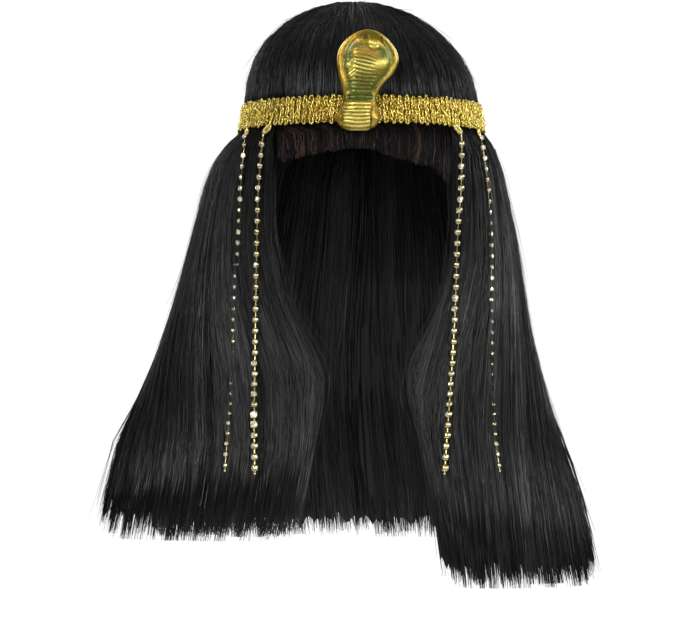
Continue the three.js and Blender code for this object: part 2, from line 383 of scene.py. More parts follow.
def own_map(tree):
    """Places on the piece's own map."""
    return add_node(tree, "ShaderNodeUVMap", uv_map=MAP).outputs["UV"]


def own_space(tree):
    """Places in the piece's own space, in metres."""
    return add_node(tree, "ShaderNodeTexCoord").outputs["Object"]


def stretched(tree, place, scale):
    """Places multiplied by three scales."""
    return add_node(tree, "ShaderNodeMapping", {"Vector": place, "Scale": scale}).outputs["Vector"]


def noise(tree, place, scale, detail):
    """Noise over places stretched by three scales."""
    sockets = {"Vector": stretched(tree, place, scale), "Scale": 1.0, "Detail": detail}
    return add_node(tree, "ShaderNodeTexNoise", sockets).outputs["Fac"]


def bump(tree, height, strength, distance, under=None):
    """Normals of a surface with a fine relief, over other normals if they are given."""
    sockets = {"Height": height, "Strength": strength, "Distance": distance}
    if under is not None:
        sockets["Normal"] = under
    return add_node(tree, "ShaderNodeBump", sockets).outputs["Normal"]


def mottled_material(name, places, mottle, stops, rough, sockets, grain=None, relief=None):
    """A material with two noises over the piece's own map or space, each given by its scales and its detail.

    The mottle's noise sets the colour through a ramp. The grain's noise sets the roughness between two values
    and, given a strength and a distance, a fine relief. Without a grain the mottle does all of it.
    """
    material, tree, shader = new_material(name)
    place = places(tree)
    patches = noise(tree, place, *mottle)
    grains = noise(tree, place, *grain) if grain else patches
    feed(tree, shader, {
        "Base Color": ramp(tree, patches, stops),
        "Roughness": span(tree, grains, NOISE_LOW, NOISE_HIGH, *rough),
        **sockets,
    })
    if relief:
        feed(tree, shader, {"Normal": bump(tree, grains, *relief)})
    return material


def strand_material(name, dark, light, tip, tip_from, tip_to, matt_to, gloss_to):
    """Glossy black strands: each column of the map has its own shade and gloss.

    The roots are matt down to a share of the length, and the tips of a few strands turn warmer.
    """
    material, tree, shader = new_material(name)
    place = own_map(tree)
    parts = add_node(tree, "ShaderNodeSeparateXYZ", {"Vector": place}).outputs
    across, down = parts["X"], parts["Y"]
    column = maths(tree, "FLOOR", [maths(tree, "MULTIPLY", [across, float(STRAND_COLUMNS)])])
    own = add_node(tree, "ShaderNodeTexWhiteNoise", {"W": column}, noise_dimensions="1D").outputs["Value"]
    streak = noise(tree, place, (STRAND_COLUMNS * 0.5, 7.0, 1.0), 2.0)
    between = blend(np.array(dark), np.array(light), 0.35)
    shade = ramp(tree, own, [(0.0, dark), (0.72, between), (1.0, light)])
    tips = span(tree, down, tip_from, tip_to, 0.0, 1.0)
    few = span(tree, own, 0.84, 1.0, 0.0, 1.0)
    matt_from = 0.2 * matt_to
    own_rough = span(tree, own, 0.0, 1.0, 0.46, 0.3)
    uneven = span(tree, streak, NOISE_LOW, NOISE_HIGH, -0.06, 0.06)
    root_rough = span(tree, down, matt_from, matt_to, 0.3, 0.0)
    own_gloss = span(tree, own, 0.0, 1.0, 0.3 * gloss_to, gloss_to)
    root_gloss = span(tree, down, matt_from, matt_to, 0.12, 1.0)
    feed(tree, shader, {
        "Base Color": mix_colours(tree, maths(tree, "MULTIPLY", [tips, few]), shade, (*tip, 1)),
        "Roughness": maths(tree, "ADD", [maths(tree, "ADD", [own_rough, uneven]), root_rough]),
        "Specular IOR Level": maths(tree, "MULTIPLY", [own_gloss, root_gloss]),
        "IOR": 1.5,
    })
    return material


def yarn_material(name, dull, plain, bright):
    """Metallic yarn: bright and dull lengths, with the fine turns of the wrapped foil as ridges."""
    material = mottled_material(
        name, own_map, ((YARN_COLUMNS * 1.5, 9.0, 1.0), 3.0), [(0.34, dull), (0.46, plain), (0.58, bright)],
        (0.38, 0.16), {"Metallic": 1.0},
    )
    tree = material.node_tree
    place = stretched(tree, own_map(tree), (32.0, 12.0, 1.0))
    sockets = {"Vector": place, "Scale": 1.0, "Distortion": 1.0, "Detail": 1.0}
    turns = add_node(tree, "ShaderNodeTexWave", sockets, bands_direction="DIAGONAL").outputs["Fac"]
    feed(tree, tree.nodes[SHADER], {"Normal": bump(tree, turns, 0.4, 0.0002)})
    return material


def plate_material(name, dark, middle, light):
    """Bright gold plate with duller, browner patches of wear."""
    return mottled_material(
        name, own_map, ((9.0, 7.0, 1.0), 3.0), [(0.25, dark), (0.5, middle), (0.75, light)],
        (0.34, 0.18), {"Metallic": 1.0}, relief=(0.2, 0.0002),
    )


def cobra_material():
    """Gilt moulding: gold on raised edges, green in hollows, amber on rubbed rims.

    The piece's relief colours hold how raised, how green and how amber each place is. The raised value
    also carries painted highlights and painted shade, which the gold ramp turns into bright and dark gold.
    """
    material, tree, shader = new_material("gilt_moulding")
    relief = add_node(tree, "ShaderNodeVertexColor", layer_name="relief").outputs["Color"]
    parts = add_node(tree, "ShaderNodeSeparateColor", {"Color": relief}).outputs
    raised, green, amber = parts["Red"], parts["Green"], parts["Blue"]
    place = own_space(tree)
    cloud, dents, speck = [
        noise(tree, place, (scale, scale, scale), detail)
        for scale, detail in ((170.0, 4.0), (380.0, 2.0), (900.0, 2.0))
    ]
    gold = ramp(tree, raised, [
        (0.0, (0.05, 0.04, 0.003)), (0.45, (0.23, 0.175, 0.013)), (1.0, (0.84, 0.69, 0.16)),
    ])
    patina = ramp(tree, cloud, [(NOISE_LOW, (0.007, 0.042, 0.012)), (NOISE_HIGH, (0.08, 0.12, 0.016))])
    rust = ramp(tree, cloud, [(NOISE_LOW, (0.46, 0.20, 0.012)), (NOISE_HIGH, (0.82, 0.50, 0.06))])
    spread = maths(tree, "MULTIPLY", [green, span(tree, cloud, 0.3, 0.65, 0.5, 1.15)], clamp=True)
    toned = mix_colours(tree, spread, gold, patina)
    feed(tree, shader, {
        "Base Color": mix_colours(tree, amber, toned, rust),
        "Metallic": span(tree, spread, 0.0, 1.0, 0.65, 0.25),
        "Roughness": span(tree, speck, NOISE_LOW, NOISE_HIGH, 0.26, 0.4),
        "Normal": bump(tree, speck, 0.12, 0.0003, under=bump(tree, dents, 0.5, 0.001)),
        "Coat Weight": 0.3,
        "Coat Roughness": 0.08,
        "Specular Tint": (0.9, 0.74, 0.36, 1),
    })
    return material


# Hair under the strands, with fine streaks down the sheet
under_hair = mottled_material(
    "under_hair", own_map, ((150.0, 3.0, 1.0), 3.0),
    [(NOISE_LOW, (0.0022, 0.0022, 0.0024)), (NOISE_HIGH, (0.006, 0.0056, 0.0055))],
    (0.4, 0.6), {"IOR": 1.5, "Specular IOR Level": 0.35},
    grain=((520.0, 5.0, 1.0), 2.0), relief=(0.5, 0.0004),
)
BLACK = (0.0018, 0.0018, 0.002)
DARK_TIP = (0.015, 0.0115, 0.0095)
long_strands = strand_material(
    "long_strands", BLACK, (0.014, 0.0125, 0.0115), DARK_TIP,
    tip_from=0.7, tip_to=1.0, matt_to=0.3, gloss_to=0.68,
)
crown_strands = strand_material(
    "crown_strands", BLACK, (0.013, 0.012, 0.0115), DARK_TIP,
    tip_from=0.7, tip_to=1.0, matt_to=0.55, gloss_to=0.6,
)
fringe_strands = strand_material(
    "fringe_strands", (0.0018, 0.0017, 0.0018), (0.012, 0.0085, 0.007), (0.22, 0.11, 0.07),
    tip_from=0.1, tip_to=1.05, matt_to=1.0, gloss_to=0.5,
)
pale_yarn = yarn_material("pale_gold_yarn", (0.12, 0.056, 0.005), (0.62, 0.43, 0.05), (1.0, 0.89, 0.28))
# The curled yarn is a deeper, more orange gold than the ribs' yarn. It is also darker, which paints shade
# where it lies under the ribs.
deep_yarn = yarn_material("deep_gold_yarn", (0.12, 0.05, 0.004), (0.44, 0.26, 0.025), (0.96, 0.72, 0.15))
# The ground of the braid between its yarns: dull brown gold with a close weave, darker than the yarns, which
# paints shade into the gaps between them
braid_ground = mottled_material(
    "braid_ground", own_space, ((400.0, 400.0, 400.0), 3.0),
    [(0.3, (0.08, 0.04, 0.006)), (0.6, (0.26, 0.15, 0.024)), (0.8, (0.5, 0.33, 0.07))],
    (0.45, 0.7), {"Metallic": 0.7}, grain=((1500.0, 1500.0, 500.0), 2.0), relief=(0.6, 0.0004),
)
gold_plate = plate_material("gold_cup_plate", (0.28, 0.23, 0.08), (0.54, 0.47, 0.23), (0.86, 0.81, 0.56))
loop_plate = plate_material("gold_loop_plate", (0.46, 0.34, 0.07), (0.78, 0.63, 0.2), (0.96, 0.85, 0.42))
# Foil-backed clear stones, with faint warm and cool tints
clear_stone = mottled_material(
    "clear_stone", own_map, ((5.0, 5.0, 1.0), 2.0),
    [(0.3, (0.76, 0.73, 0.52)), (0.5, (0.9, 0.89, 0.77)), (0.7, (0.97, 0.97, 0.94))],
    (0.16, 0.06), {"Metallic": 0.6, "Coat Weight": 0.6, "Coat Roughness": 0.03},
)
gilt_moulding = cobra_material()
# Dark red-brown enamel with a cloudy depth
red_enamel = mottled_material(
    "red_enamel", own_map, ((3.0, 3.0, 1.0), 2.0),
    [(NOISE_LOW, (0.06, 0.013, 0.002)), (NOISE_HIGH, (0.18, 0.045, 0.006))],
    (0.3, 0.45), {"Specular IOR Level": 0.12},
)


# Hair surfaces: u runs across a sheet and v down it, both from 0 to 1

# How far the sheets of hair lie under the combed strands
SHELL_RECESS = 1.3
# How far the strands of a wisp close up at their tips
WISP_PULL = 0.35
# How much of its length the hair loses at the corners of a hem
HEM_CORNER = 0.035
# Above this height the hair faces upwards as well as sideways
DOME_FROM_Z = -40.0
# Each side of a sheet takes this much of the map, and its edges the heights between these two
SIDE_OF_MAP = np.array([0.5, 0.94])
EDGE_OF_MAP = (0.96, 0.99)
STRAND_SIDES = 3


def side_surface(table):
    """A side fall: each level section is a parabola through its front, middle and rear places."""
    def surface(u, v):
        """Places at u along the parabola at v, which its control place pulls through the middle."""
        row = smooth_rows(table, v)
        front, middle, rear = row[..., 1:3], row[..., 3:5], row[..., 5:7]
        control = 2 * middle - (front + rear) / 2
        u = u[..., None]
        plan = (1 - u) ** 2 * front + 2 * u * (1 - u) * control + u ** 2 * rear
        return np.concatenate([plan, row[..., :1]], axis=-1)
    return surface


def back_surface(u, v):
    """The back fall: each level section is half an oval from the left edge round to the right."""
    z, left_x, right_x, edge_y, back_y = np.moveaxis(smooth_rows(BACK_FALL, v), -1, 0)
    x = blend(left_x, right_x, (1 - np.cos(np.pi * u)) / 2)
    y = blend(edge_y, back_y, np.sin(np.pi * u))
    return np.stack([x, y, z], axis=-1)


def fringe_surface(u, v):
    """The fringe: an arc of the rim's oval from left to right, cut to its own height at every angle.

    It is tucked in by the square of v.
    """
    angle = blend(-FRINGE_HALF_ANGLE, FRINGE_HALF_ANGLE, u)
    radius = RIM_OUTER - FRINGE_TUCK * v * np.abs(v)
    z = blend(FALL_TOP_Z, smooth_rows(FRINGE_CUT, u)[..., 0], v)
    return np.stack([radius * np.sin(angle), -radius * OVAL_RATIO * np.cos(angle), z], axis=-1)


def crown_surface(u, v):
    """The dome: in plan, straight lines from a short parting to the rim, raised onto an ellipsoid.

    Before v = 0 the lines cross the parting. Past v = 1 they go down under the band and out to the rim, and
    above the band the dome leans to the left.
    """
    angle = TURN * u
    reach = np.sin(np.clip(v, -0.5, 1) * np.pi / 2)
    x = blend(PARTING_HALF_WIDTH, CROWN_HALF_WIDTH, reach) * np.sin(angle)
    rim_y = -CROWN_HALF_WIDTH * OVAL_RATIO * np.cos(angle)
    y = blend(PARTING_Y - PARTING_HALF_LENGTH * np.cos(angle), rim_y, reach)
    spread = (x / CROWN_HALF_WIDTH) ** 2 + (y / (CROWN_HALF_WIDTH * OVAL_RATIO)) ** 2
    rise = np.sqrt(np.maximum(1 - spread, 0))
    below = np.maximum(v - 1, 0) / RIM_SPAN
    flare = 1 + below * (RIM_OUTER / CROWN_HALF_WIDTH - 1)
    z = CROWN_CENTRE_Z + (CROWN_TOP_Z - CROWN_CENTRE_Z) * rise + below * (RIM_Z - CROWN_CENTRE_Z)
    return np.stack([x * flare - CROWN_LEAN * rise, y * flare, z], axis=-1)


def outward_at(surface, u, v):
    """Direction out of the hair: across the sheet times down it, turned away from the upright axis."""
    step = 1e-3
    across = surface(u + step, v) - surface(u - step, v)
    down = surface(u, v + step) - surface(u, v - step)
    normal = unit(np.cross(across, down))
    place = surface(u, v)
    sideways = np.sum(place[..., :2] * normal[..., :2])
    upwards = np.sum(np.maximum(place[..., 2] - DOME_FROM_Z, 0) * normal[..., 2])
    return normal * np.sign(sideways + upwards)


def lock_relief(rng, locks, height):
    """Soft ridges down a sheet of hair: three sets of cosines across it, each finer and lower.

    Their phases are seeded and drift slowly down the sheet. A slow sine down the sheet, with a phase that
    differs from lock to lock, waves them in and out.
    """
    counts = np.round(locks * np.array([1.0, 2.3, 5.1]))
    heights = height * np.array([0.5, 0.3, 0.2])
    phases = rng.uniform(0, TURN, 3)
    drifts = rng.uniform(0.6, 1.6, 3)

    def relief(u, v):
        """Height of the ridges and the wave."""
        ridges_across = [
            h * np.cos(TURN * n * u + p + d * np.sin(3 * v + p) + 1.3 * np.sin(TURN * 3 * u + p))
            for n, h, p, d in zip(counts, heights, phases, drifts)
        ]
        slow = TURN * locks * u
        lag = 2.5 * np.sin(0.25 * slow + phases[0]) + 1.6 * np.sin(0.55 * slow + phases[1])
        wave = 0.5 * height * np.sin(TURN * 1.7 * v + lag) * smoothstep(0.05, 0.35, v)
        return sum(ridges_across) + wave
    return relief


def fall_thickness(v):
    """Thickness of a fall, which changes evenly from top to bottom."""
    return blend(FALL_THICKNESS_TOP, FALL_THICKNESS_BOTTOM, np.clip(v, 0, 1))


def hair_shell(surface, relief, thickness, across, down, rng, bottom, jag):
    """A closed sheet of hair: an outer and an inner grid joined round their edges.

    The outer grid is the surface plus the ridges, and the inner one lies a thickness inside it, thinner at
    the side edges and the bottom. The bottom edge is jagged by a seeded row of lengths.
    """
    u, t = np.meshgrid(np.linspace(0, 1, across), np.linspace(0, 1, down))
    v = t * (bottom + jag * rng.normal(0, 1, across)[None])
    place = surface(u, v)
    out = outward_at(surface, u, v)
    fade = smoothstep(-0.02, 0.14, v)[..., None]
    edge = np.sqrt(1 - 0.93 * np.abs(2 * u - 1) ** 8)
    foot = 1 - 0.75 * smoothstep(0.85, 1, t)
    outer = place + out * (relief(u, v)[..., None] - SHELL_RECESS) * fade
    inner = place - out * (thickness(v) * edge * foot)[..., None]
    size = across * down
    faces, uv = grid_faces(down, across)
    outer_uv = uv * SIDE_OF_MAP
    inner_uv = outer_uv + (SIDE_OF_MAP[0], 0)
    index = np.arange(size).reshape(down, across)
    rim = np.concatenate([index[0, :-1], index[:-1, -1], index[-1, :0:-1], index[:0:-1, 0]])
    after = np.roll(rim, -1)
    strip = np.stack([rim, after, after + size, rim + size], axis=-1)
    share = np.arange(len(rim)) / len(rim)
    next_share = share + 1 / len(rim)
    low, high = (np.full(len(rim), level) for level in EDGE_OF_MAP)
    round_edge = np.stack([share, next_share, next_share, share], axis=-1)
    strip_uv = np.stack([round_edge, np.stack([low, low, high, high], axis=-1)], axis=-1)
    points = np.concatenate([outer.reshape(-1, 3), inner.reshape(-1, 3)])
    return points, [faces, faces[:, ::-1] + size, strip], [outer_uv, inner_uv[:, ::-1], strip_uv]


def in_column(across, column, columns):
    """Places across one of a map's columns, with a margin at both sides."""
    return (across * 0.9 + 0.05 + column) / columns


def strand_tubes(rng, paths, out, breadth, root_share, tip_share, column, map_top=0.0):
    """Three-cornered tubes along strand paths, each of its own breadth, narrow at the root and the tip.

    Each strand takes its shade from its own column of the map, from a height in it down to its foot.
    """
    count, steps = paths.shape[:2]
    t = np.linspace(0, 1, steps)
    taper = np.minimum(1, root_share + t / 0.1) * blend(1, tip_share, smoothstep(0.88, 1, t))
    half = breadth * rng.uniform(0.6, 1.4, count)[:, None] * taper
    points = tubes(paths, out, half, half * 0.6, STRAND_SIDES, lead=np.pi / 2)
    faces, (quad_uv, cap_uv) = tube_faces(count, steps, STRAND_SIDES)
    quad_column = np.repeat(column, len(quad_uv) // count)[:, None]
    quad_across = in_column(quad_uv[..., 0], quad_column, STRAND_COLUMNS)
    cap_across = in_column(cap_uv[..., 0], np.tile(column, 2)[:, None], STRAND_COLUMNS)
    quad_uv = np.stack([quad_across, blend(map_top, 1, quad_uv[..., 1])], axis=-1)
    cap_uv = np.stack([cap_across, cap_uv[..., 1]], axis=-1)
    return points, faces, [quad_uv, cap_uv]


def gathered(spot, groups, spread, rng):
    """Groups of neighbouring strands: each strand's group, and the middle of that group across the sheet."""
    group = np.floor(spot * groups + rng.normal(0, 0.3, len(spot))).astype(int) % groups
    middle = spot + (((group + 0.5) / groups - spot + 0.5) % 1 - 0.5)
    return group, middle + rng.uniform(-spread, spread, groups)[group] / groups


def comb(surface, relief, rng, count, steps, start, end, ragged, locks, gather, sway, stand, breadth,
         across=(0.0, 1.0), inside=None, tip_share=0.35, sink=0.0, wisp_length=0.0, lock_share=0.7,
         map_top=0.0, corner=0.0):
    """Combed strands over a sheet of hair.

    A strand starts at its own place across the sheet and runs down it in steps of a seeded power. It draws
    towards the middle of its lock by a smooth step, and near its end towards a fine wisp. It sways on two
    slow sines and lies on the ridges at its own height. One strand in seven sways further and lies on top.
    Its length is the sheet's with seeded changes for its lock, its wisp and itself, and less at the corners.
    Given a thickness, strands lie inside. A share of the strands takes the shade of its lock. The spread past
    the sheet's first edge is for its top, and closes below.
    """
    spot = (np.arange(count) + rng.random(count)) / count
    wisps = locks * 4
    lock, middle = gathered(spot, locks, 0.2, rng)
    wisp, wisp_middle = gathered(spot, wisps, 0.3, rng)
    own_end = rng.normal(0, 1, locks)[lock] + rng.normal(0, 0.7, wisps)[wisp] + rng.normal(0, 0.8, count)
    reach = end + ragged * np.minimum(own_end, 1.6) - corner * np.abs(2 * spot - 1) ** 12
    first = rng.uniform(start[0], start[1], count)[:, None]
    power = rng.uniform(0.82, 1.2, count)[:, None]
    v = first + (reach[:, None] - first) * np.linspace(0, 1, steps) ** power
    pull = gather * smoothstep(0.15, 1, v) * rng.uniform(0.2, 1.0, count)[:, None]
    at = spot[:, None] + (middle - spot)[:, None] * pull
    if wisp_length:
        wisp_at = wisp_middle[:, None] + (middle - wisp_middle)[:, None] * pull
        at = blend(at, wisp_at, WISP_PULL * smoothstep(end - wisp_length, end + 0.01, v))
    lock_phase = rng.uniform(0, TURN, locks)[lock][:, None]
    own_phase = rng.uniform(0, TURN, count)[:, None]
    wild = (rng.random(count) > 0.86)[:, None]
    waves = 0.8 * np.sin(3.5 * v + lock_phase) + (0.35 + 1.3 * wild) * np.sin(6 * v + own_phase)
    first_edge = across[0] * (1 - 1.35 * smoothstep(0.02, 0.2, v))
    u = blend(first_edge, across[1], at) + sway * waves * smoothstep(0, 0.6, v)
    place = surface(u, v)
    out = outward_at(surface, u, v)
    own_height = blend(stand[0], stand[1], rng.random(count) ** 1.5)[:, None] + 0.4 * wild
    if inside is None:
        height = blend(-sink, relief(u, v) + own_height, smoothstep(first, first + 0.16, v))
    else:
        out = -out
        height = inside(v) + own_height
    paths = place + out * height[..., None]
    lock_column = rng.integers(0, STRAND_COLUMNS, locks)[lock]
    column = np.where(rng.random(count) < lock_share, lock_column, rng.integers(0, STRAND_COLUMNS, count))
    return strand_tubes(rng, paths, out, breadth, 0.4, tip_share, column, map_top)


def loose_hairs(surface, rng, count, steps, across, down, lift, drift, breadth):
    """Single hairs that leave a sheet.

    Each rises off it with the square of its length, curls back by a seeded share and drifts sideways.
    """
    t = np.linspace(0, 1, steps)
    begin = rng.uniform(down[0], down[1], count)[:, None]
    length = rng.uniform(down[2], down[3], count)[:, None]
    v = np.minimum(begin + length, 1.0) * t + begin * (1 - t)
    start = rng.uniform(across[0], across[1], count)[:, None]
    u = start + drift * rng.normal(0, 1, count)[:, None] * t ** 1.5
    bow = rng.uniform(0.3, 1, count)[:, None] * lift
    curl = 1 - rng.uniform(0, 0.9, count)[:, None] * t ** 2
    out = outward_at(surface, u, v)
    paths = surface(u, v) + out * (0.6 + bow * t ** 2 * curl)[..., None]
    return strand_tubes(rng, paths, out, breadth, 0.6, 0.4, rng.integers(0, STRAND_COLUMNS, count))


# Hair pieces

left_surface = side_surface(LEFT_FALL)
right_surface = side_surface(RIGHT_FALL)


def make_fall(name, node, surface, seed, locks, columns, strands, sway, ragged, end, across):
    """A fall of hair: a ridged sheet that stands for the frame's solid, and combed strands.

    They lie over the sheet and inside it, and short ones thicken the hem.
    """
    rng = np.random.default_rng(seed)
    relief = lock_relief(rng, locks, height=1.3)
    shell = hair_shell(
        surface, relief, fall_thickness, across=columns, down=36, rng=rng, bottom=0.98, jag=0.009
    )
    make_piece(name, *shell, under_hair, HAIR, [node])
    shared = {
        "locks": locks, "gather": 0.45, "sway": sway, "across": across, "wisp_length": 0.07,
        "corner": HEM_CORNER,
    }
    over, at_hem, inside = strands
    outer = comb(
        surface, relief, rng, over, 10, start=(-0.06, -0.04), end=end, ragged=ragged,
        stand=(-0.4, 0.6), breadth=0.26, **shared,
    )
    hem = comb(
        surface, relief, rng, at_hem, 5, start=(0.55, 0.88), end=end, ragged=1.3 * ragged,
        stand=(-2.4, 0.2), breadth=0.4, sink=3.0, map_top=0.5, **shared,
    )
    make_piece(name + "_strands", *joined([outer, hem]), long_strands, HAIR)
    inner = comb(
        surface, relief, rng, inside, 9, start=(-0.03, 0.0), end=end - 0.01, ragged=ragged,
        stand=(0.2, 0.9), breadth=0.42, inside=fall_thickness, **shared,
    )
    make_piece(name + "_inner_strands", *inner, long_strands, HAIR)


# Falls: piece, node, surface, seed, locks, columns of the sheet, strands over it, at its hem and inside it,
# sway, raggedness, end as a share of the length, and edges across
FALLS = [
    ("left_hair", "left_fall", left_surface, 11, 22, 90,
     (1900, 900, 220), 0.013, 0.013, 1.0, (-0.035, 1.012)),
    ("right_hair", "right_fall", right_surface, 12, 22, 90,
     (1900, 900, 220), 0.013, 0.012, 0.995, (-0.035, 1.012)),
    ("back_hair", "back_fall", back_surface, 13, 46, 160,
     (2700, 1000, 640), 0.007, 0.012, 1.0, (-0.012, 1.012)),
]
for fall in FALLS:
    make_fall(*fall)


def make_fringe():
    """The fringe: a thin ridged sheet and short strands cut to one line, which reach past it on both sides.

    Smooth steps lower the ridges at its side edges.
    """
    rng = np.random.default_rng(14)
    ridge = lock_relief(rng, locks=16, height=0.7)

    def relief(u, v):
        """The ridges, lowered at both side edges."""
        at_edges = smoothstep(0.1, -0.04, u) + smoothstep(0.9, 1.04, u)
        return ridge(u, v) - 1.8 * at_edges

    def thin(v):
        """One thickness everywhere."""
        return FRINGE_THICKNESS * np.ones_like(v)

    shell = hair_shell(fringe_surface, relief, thin, across=90, down=12, rng=rng, bottom=0.9, jag=0.02)
    make_piece("fringe", *shell, under_hair, HAIR, ["fringe_hair"])
    outer = comb(
        fringe_surface, relief, rng, 1100, 7, start=(-0.2, -0.1), end=0.985, ragged=0.055, locks=20,
        gather=0.35, sway=0.006, stand=(-0.4, 0.6), breadth=0.26, across=(-0.07, 1.07), tip_share=0.4,
        wisp_length=0.3, lock_share=0.25,
    )
    inner = comb(
        fringe_surface, relief, rng, 260, 6, start=(-0.1, 0.0), end=0.97, ragged=0.03, locks=18, gather=0.4,
        sway=0.006, stand=(0.0, 0.4), breadth=0.35, inside=thin,
    )
    make_piece("fringe_strands", *joined([outer, inner]), fringe_strands, HAIR)


make_fringe()


def make_crown():
    """The crown: a ridged dome over the hollow for the head, and strands combed from the parting to the band.

    The dome is a profile of outside arc, rim and inside arc turned round an oval, with its ridges outside.
    """
    rng = np.random.default_rng(15)
    relief = lock_relief(rng, locks=40, height=0.7)
    across = 120
    rows = 24
    angle, q = np.meshgrid(TURN * np.arange(across) / across, np.linspace(0.004, np.pi / 2, rows))
    ridge = relief(angle / TURN, q / (np.pi / 2)) * smoothstep(0.1, 0.5, q) - SHELL_RECESS
    outer_z = CROWN_CENTRE_Z + (CROWN_TOP_Z - CROWN_CENTRE_Z + ridge) * np.cos(q)
    outer_r = (CROWN_HALF_WIDTH + ridge) * np.sin(q)
    inner_z = CROWN_CENTRE_Z + (HOLLOW_TOP_Z - CROWN_CENTRE_Z) * np.cos(q[::-1])
    inner_r = HOLLOW_HALF_WIDTH * np.sin(q[::-1])
    ring = np.ones((1, across))
    radius = np.vstack([outer_r, ring * RIM_OUTER, ring * RIM_INNER, inner_r])
    z = np.vstack([outer_z, ring * RIM_Z, ring * RIM_Z, inner_z])
    angle = np.broadcast_to(angle[:1], z.shape)
    lean = CROWN_LEAN * np.maximum(z - CROWN_CENTRE_Z, 0) / (CROWN_TOP_Z - CROWN_CENTRE_Z)
    points = np.stack([radius * np.sin(angle) - lean, -radius * OVAL_RATIO * np.cos(angle), z], axis=-1)
    faces, uvs = tube_faces(1, len(z), across)
    make_piece("crown", points, faces, uvs, under_hair, HAIR, ["crown_hair"])
    outer = comb(
        crown_surface, relief, rng, 2400, 9, start=(-0.14, 0.02), end=1.1, ragged=0.01, locks=44, gather=0.3,
        sway=0.004, stand=(-0.3, 0.7), breadth=0.33, sink=0.9, lock_share=0.45,
    )
    make_piece("crown_strands", *outer, crown_strands, HAIR)


make_crown()


def make_loose_hairs():
    """Single hairs that stand off the crown and the falls, and stray at the edges beside the face."""
    rng = np.random.default_rng(16)
    # Surface, hairs, edges across, first and last start, least and most length, lift and drift
    sheets = [
        (crown_surface, 230, (0.0, 1.0), (0.1, 0.75, 0.15, 0.4), 5.0, 0.02),
        (left_surface, 90, (0.15, 1.0), (0.1, 0.7, 0.15, 0.4), 7.0, 0.05),
        (right_surface, 90, (0.15, 1.0), (0.1, 0.7, 0.15, 0.4), 6.0, 0.05),
        (left_surface, 130, (0.55, 1.0), (0.0, 0.6, 0.3, 0.8), 3.5, 0.03),
        (right_surface, 130, (0.55, 1.0), (0.0, 0.6, 0.3, 0.8), 3.5, 0.03),
        (left_surface, 50, (-0.02, 0.05), (0.0, 0.6, 0.2, 0.6), 2.5, 0.025),
        (right_surface, 50, (-0.02, 0.05), (0.0, 0.6, 0.2, 0.6), 2.5, 0.025),
        (back_surface, 110, (0.05, 0.95), (0.1, 0.7, 0.15, 0.4), 6.0, 0.02),
        (left_surface, 140, (0.84, 1.0), (0.03, 0.6, 0.25, 0.5), 4.5, 0.03),
        (right_surface, 140, (0.84, 1.0), (0.03, 0.6, 0.25, 0.5), 4.5, 0.03),
    ]
    parts = [
        loose_hairs(surface, rng, count, 9, across, down, lift, drift, breadth=0.13)
        for surface, count, across, down, lift, drift in sheets
    ]
    make_piece("loose_hairs", *joined(parts), long_strands, HAIR)


make_loose_hairs()


# Head band

def oval_speed():
    """Fine angles round the oval, and the length that each radian covers where it is 1 across."""
    angle = np.linspace(0, TURN, 4001)
    return angle, np.hypot(np.cos(angle), OVAL_RATIO * np.sin(angle))


def oval_angle(share):
    """Angle from the front of the oval at a share of the length round it, by adding up short steps."""
    angle, speed = oval_speed()
    length = np.concatenate([[0], np.cumsum((speed[1:] + speed[:-1]) / 2)])
    return np.interp(share % 1, length / length[-1], angle)


def oval_length(radius):
    """Length round the oval of a radius across."""
    return radius * np.mean(oval_speed()[1]) * TURN


def band_place(share, height, stand):
    """Place on the band's face, and its outward direction.

    It is at a share of the way round and a height from 0 at the bottom edge to 1, and stands off the oval.
    """
    angle = oval_angle(share)
    radius = blend(BAND_OUTER_BOTTOM, BAND_OUTER_TOP, height)
    z = blend(BAND_BOTTOM_Z, BAND_TOP_Z, height)
    x = radius * np.sin(angle)
    y = -radius * OVAL_RATIO * np.cos(angle)
    outward = unit(np.stack([np.sin(angle), -np.cos(angle) / OVAL_RATIO, np.zeros_like(angle)], axis=-1))
    return np.stack([x, y, z], axis=-1) + stand[..., None] * outward, outward


RIB_COUNT = 118
RIB_HALF_WIDTH = 1.4
# How far the plies of a rib's yarn lie from its middle, and the length of one turn of them
PLY_OFFSET = 0.34
PLY_TURN = 3.2


def yarn_tubes(cores, outward, radius, sides, per_run):
    """Tubes of yarn along several cores, with a column of the map for each run of steps."""
    count, steps = cores.shape[:2]
    points = tubes(cores, outward, radius, radius, sides)
    faces, uvs = tube_faces(count, steps, sides)
    step = np.tile(np.repeat(np.arange(steps - 1), sides), count)
    core = np.repeat(np.arange(count), (steps - 1) * sides)
    column = (step // per_run * 5 + core * 3) % YARN_COLUMNS
    across = in_column(uvs[0][..., 0], column[:, None], YARN_COLUMNS)
    down = np.stack([step, step + 1, step + 1, step], axis=-1) - (step // per_run * per_run)[:, None]
    uvs[0] = np.stack([across, down / per_run], axis=-1)
    return points, faces, uvs


def crinkles(rng, place, per_unit, count):
    """Seeded values at even knots along a run, joined by straight lines."""
    knots = np.arange(int(place[-1] * per_unit) + 2)
    return [np.interp(place * per_unit, knots, rng.normal(0, 1, len(knots))) for _ in range(count)]


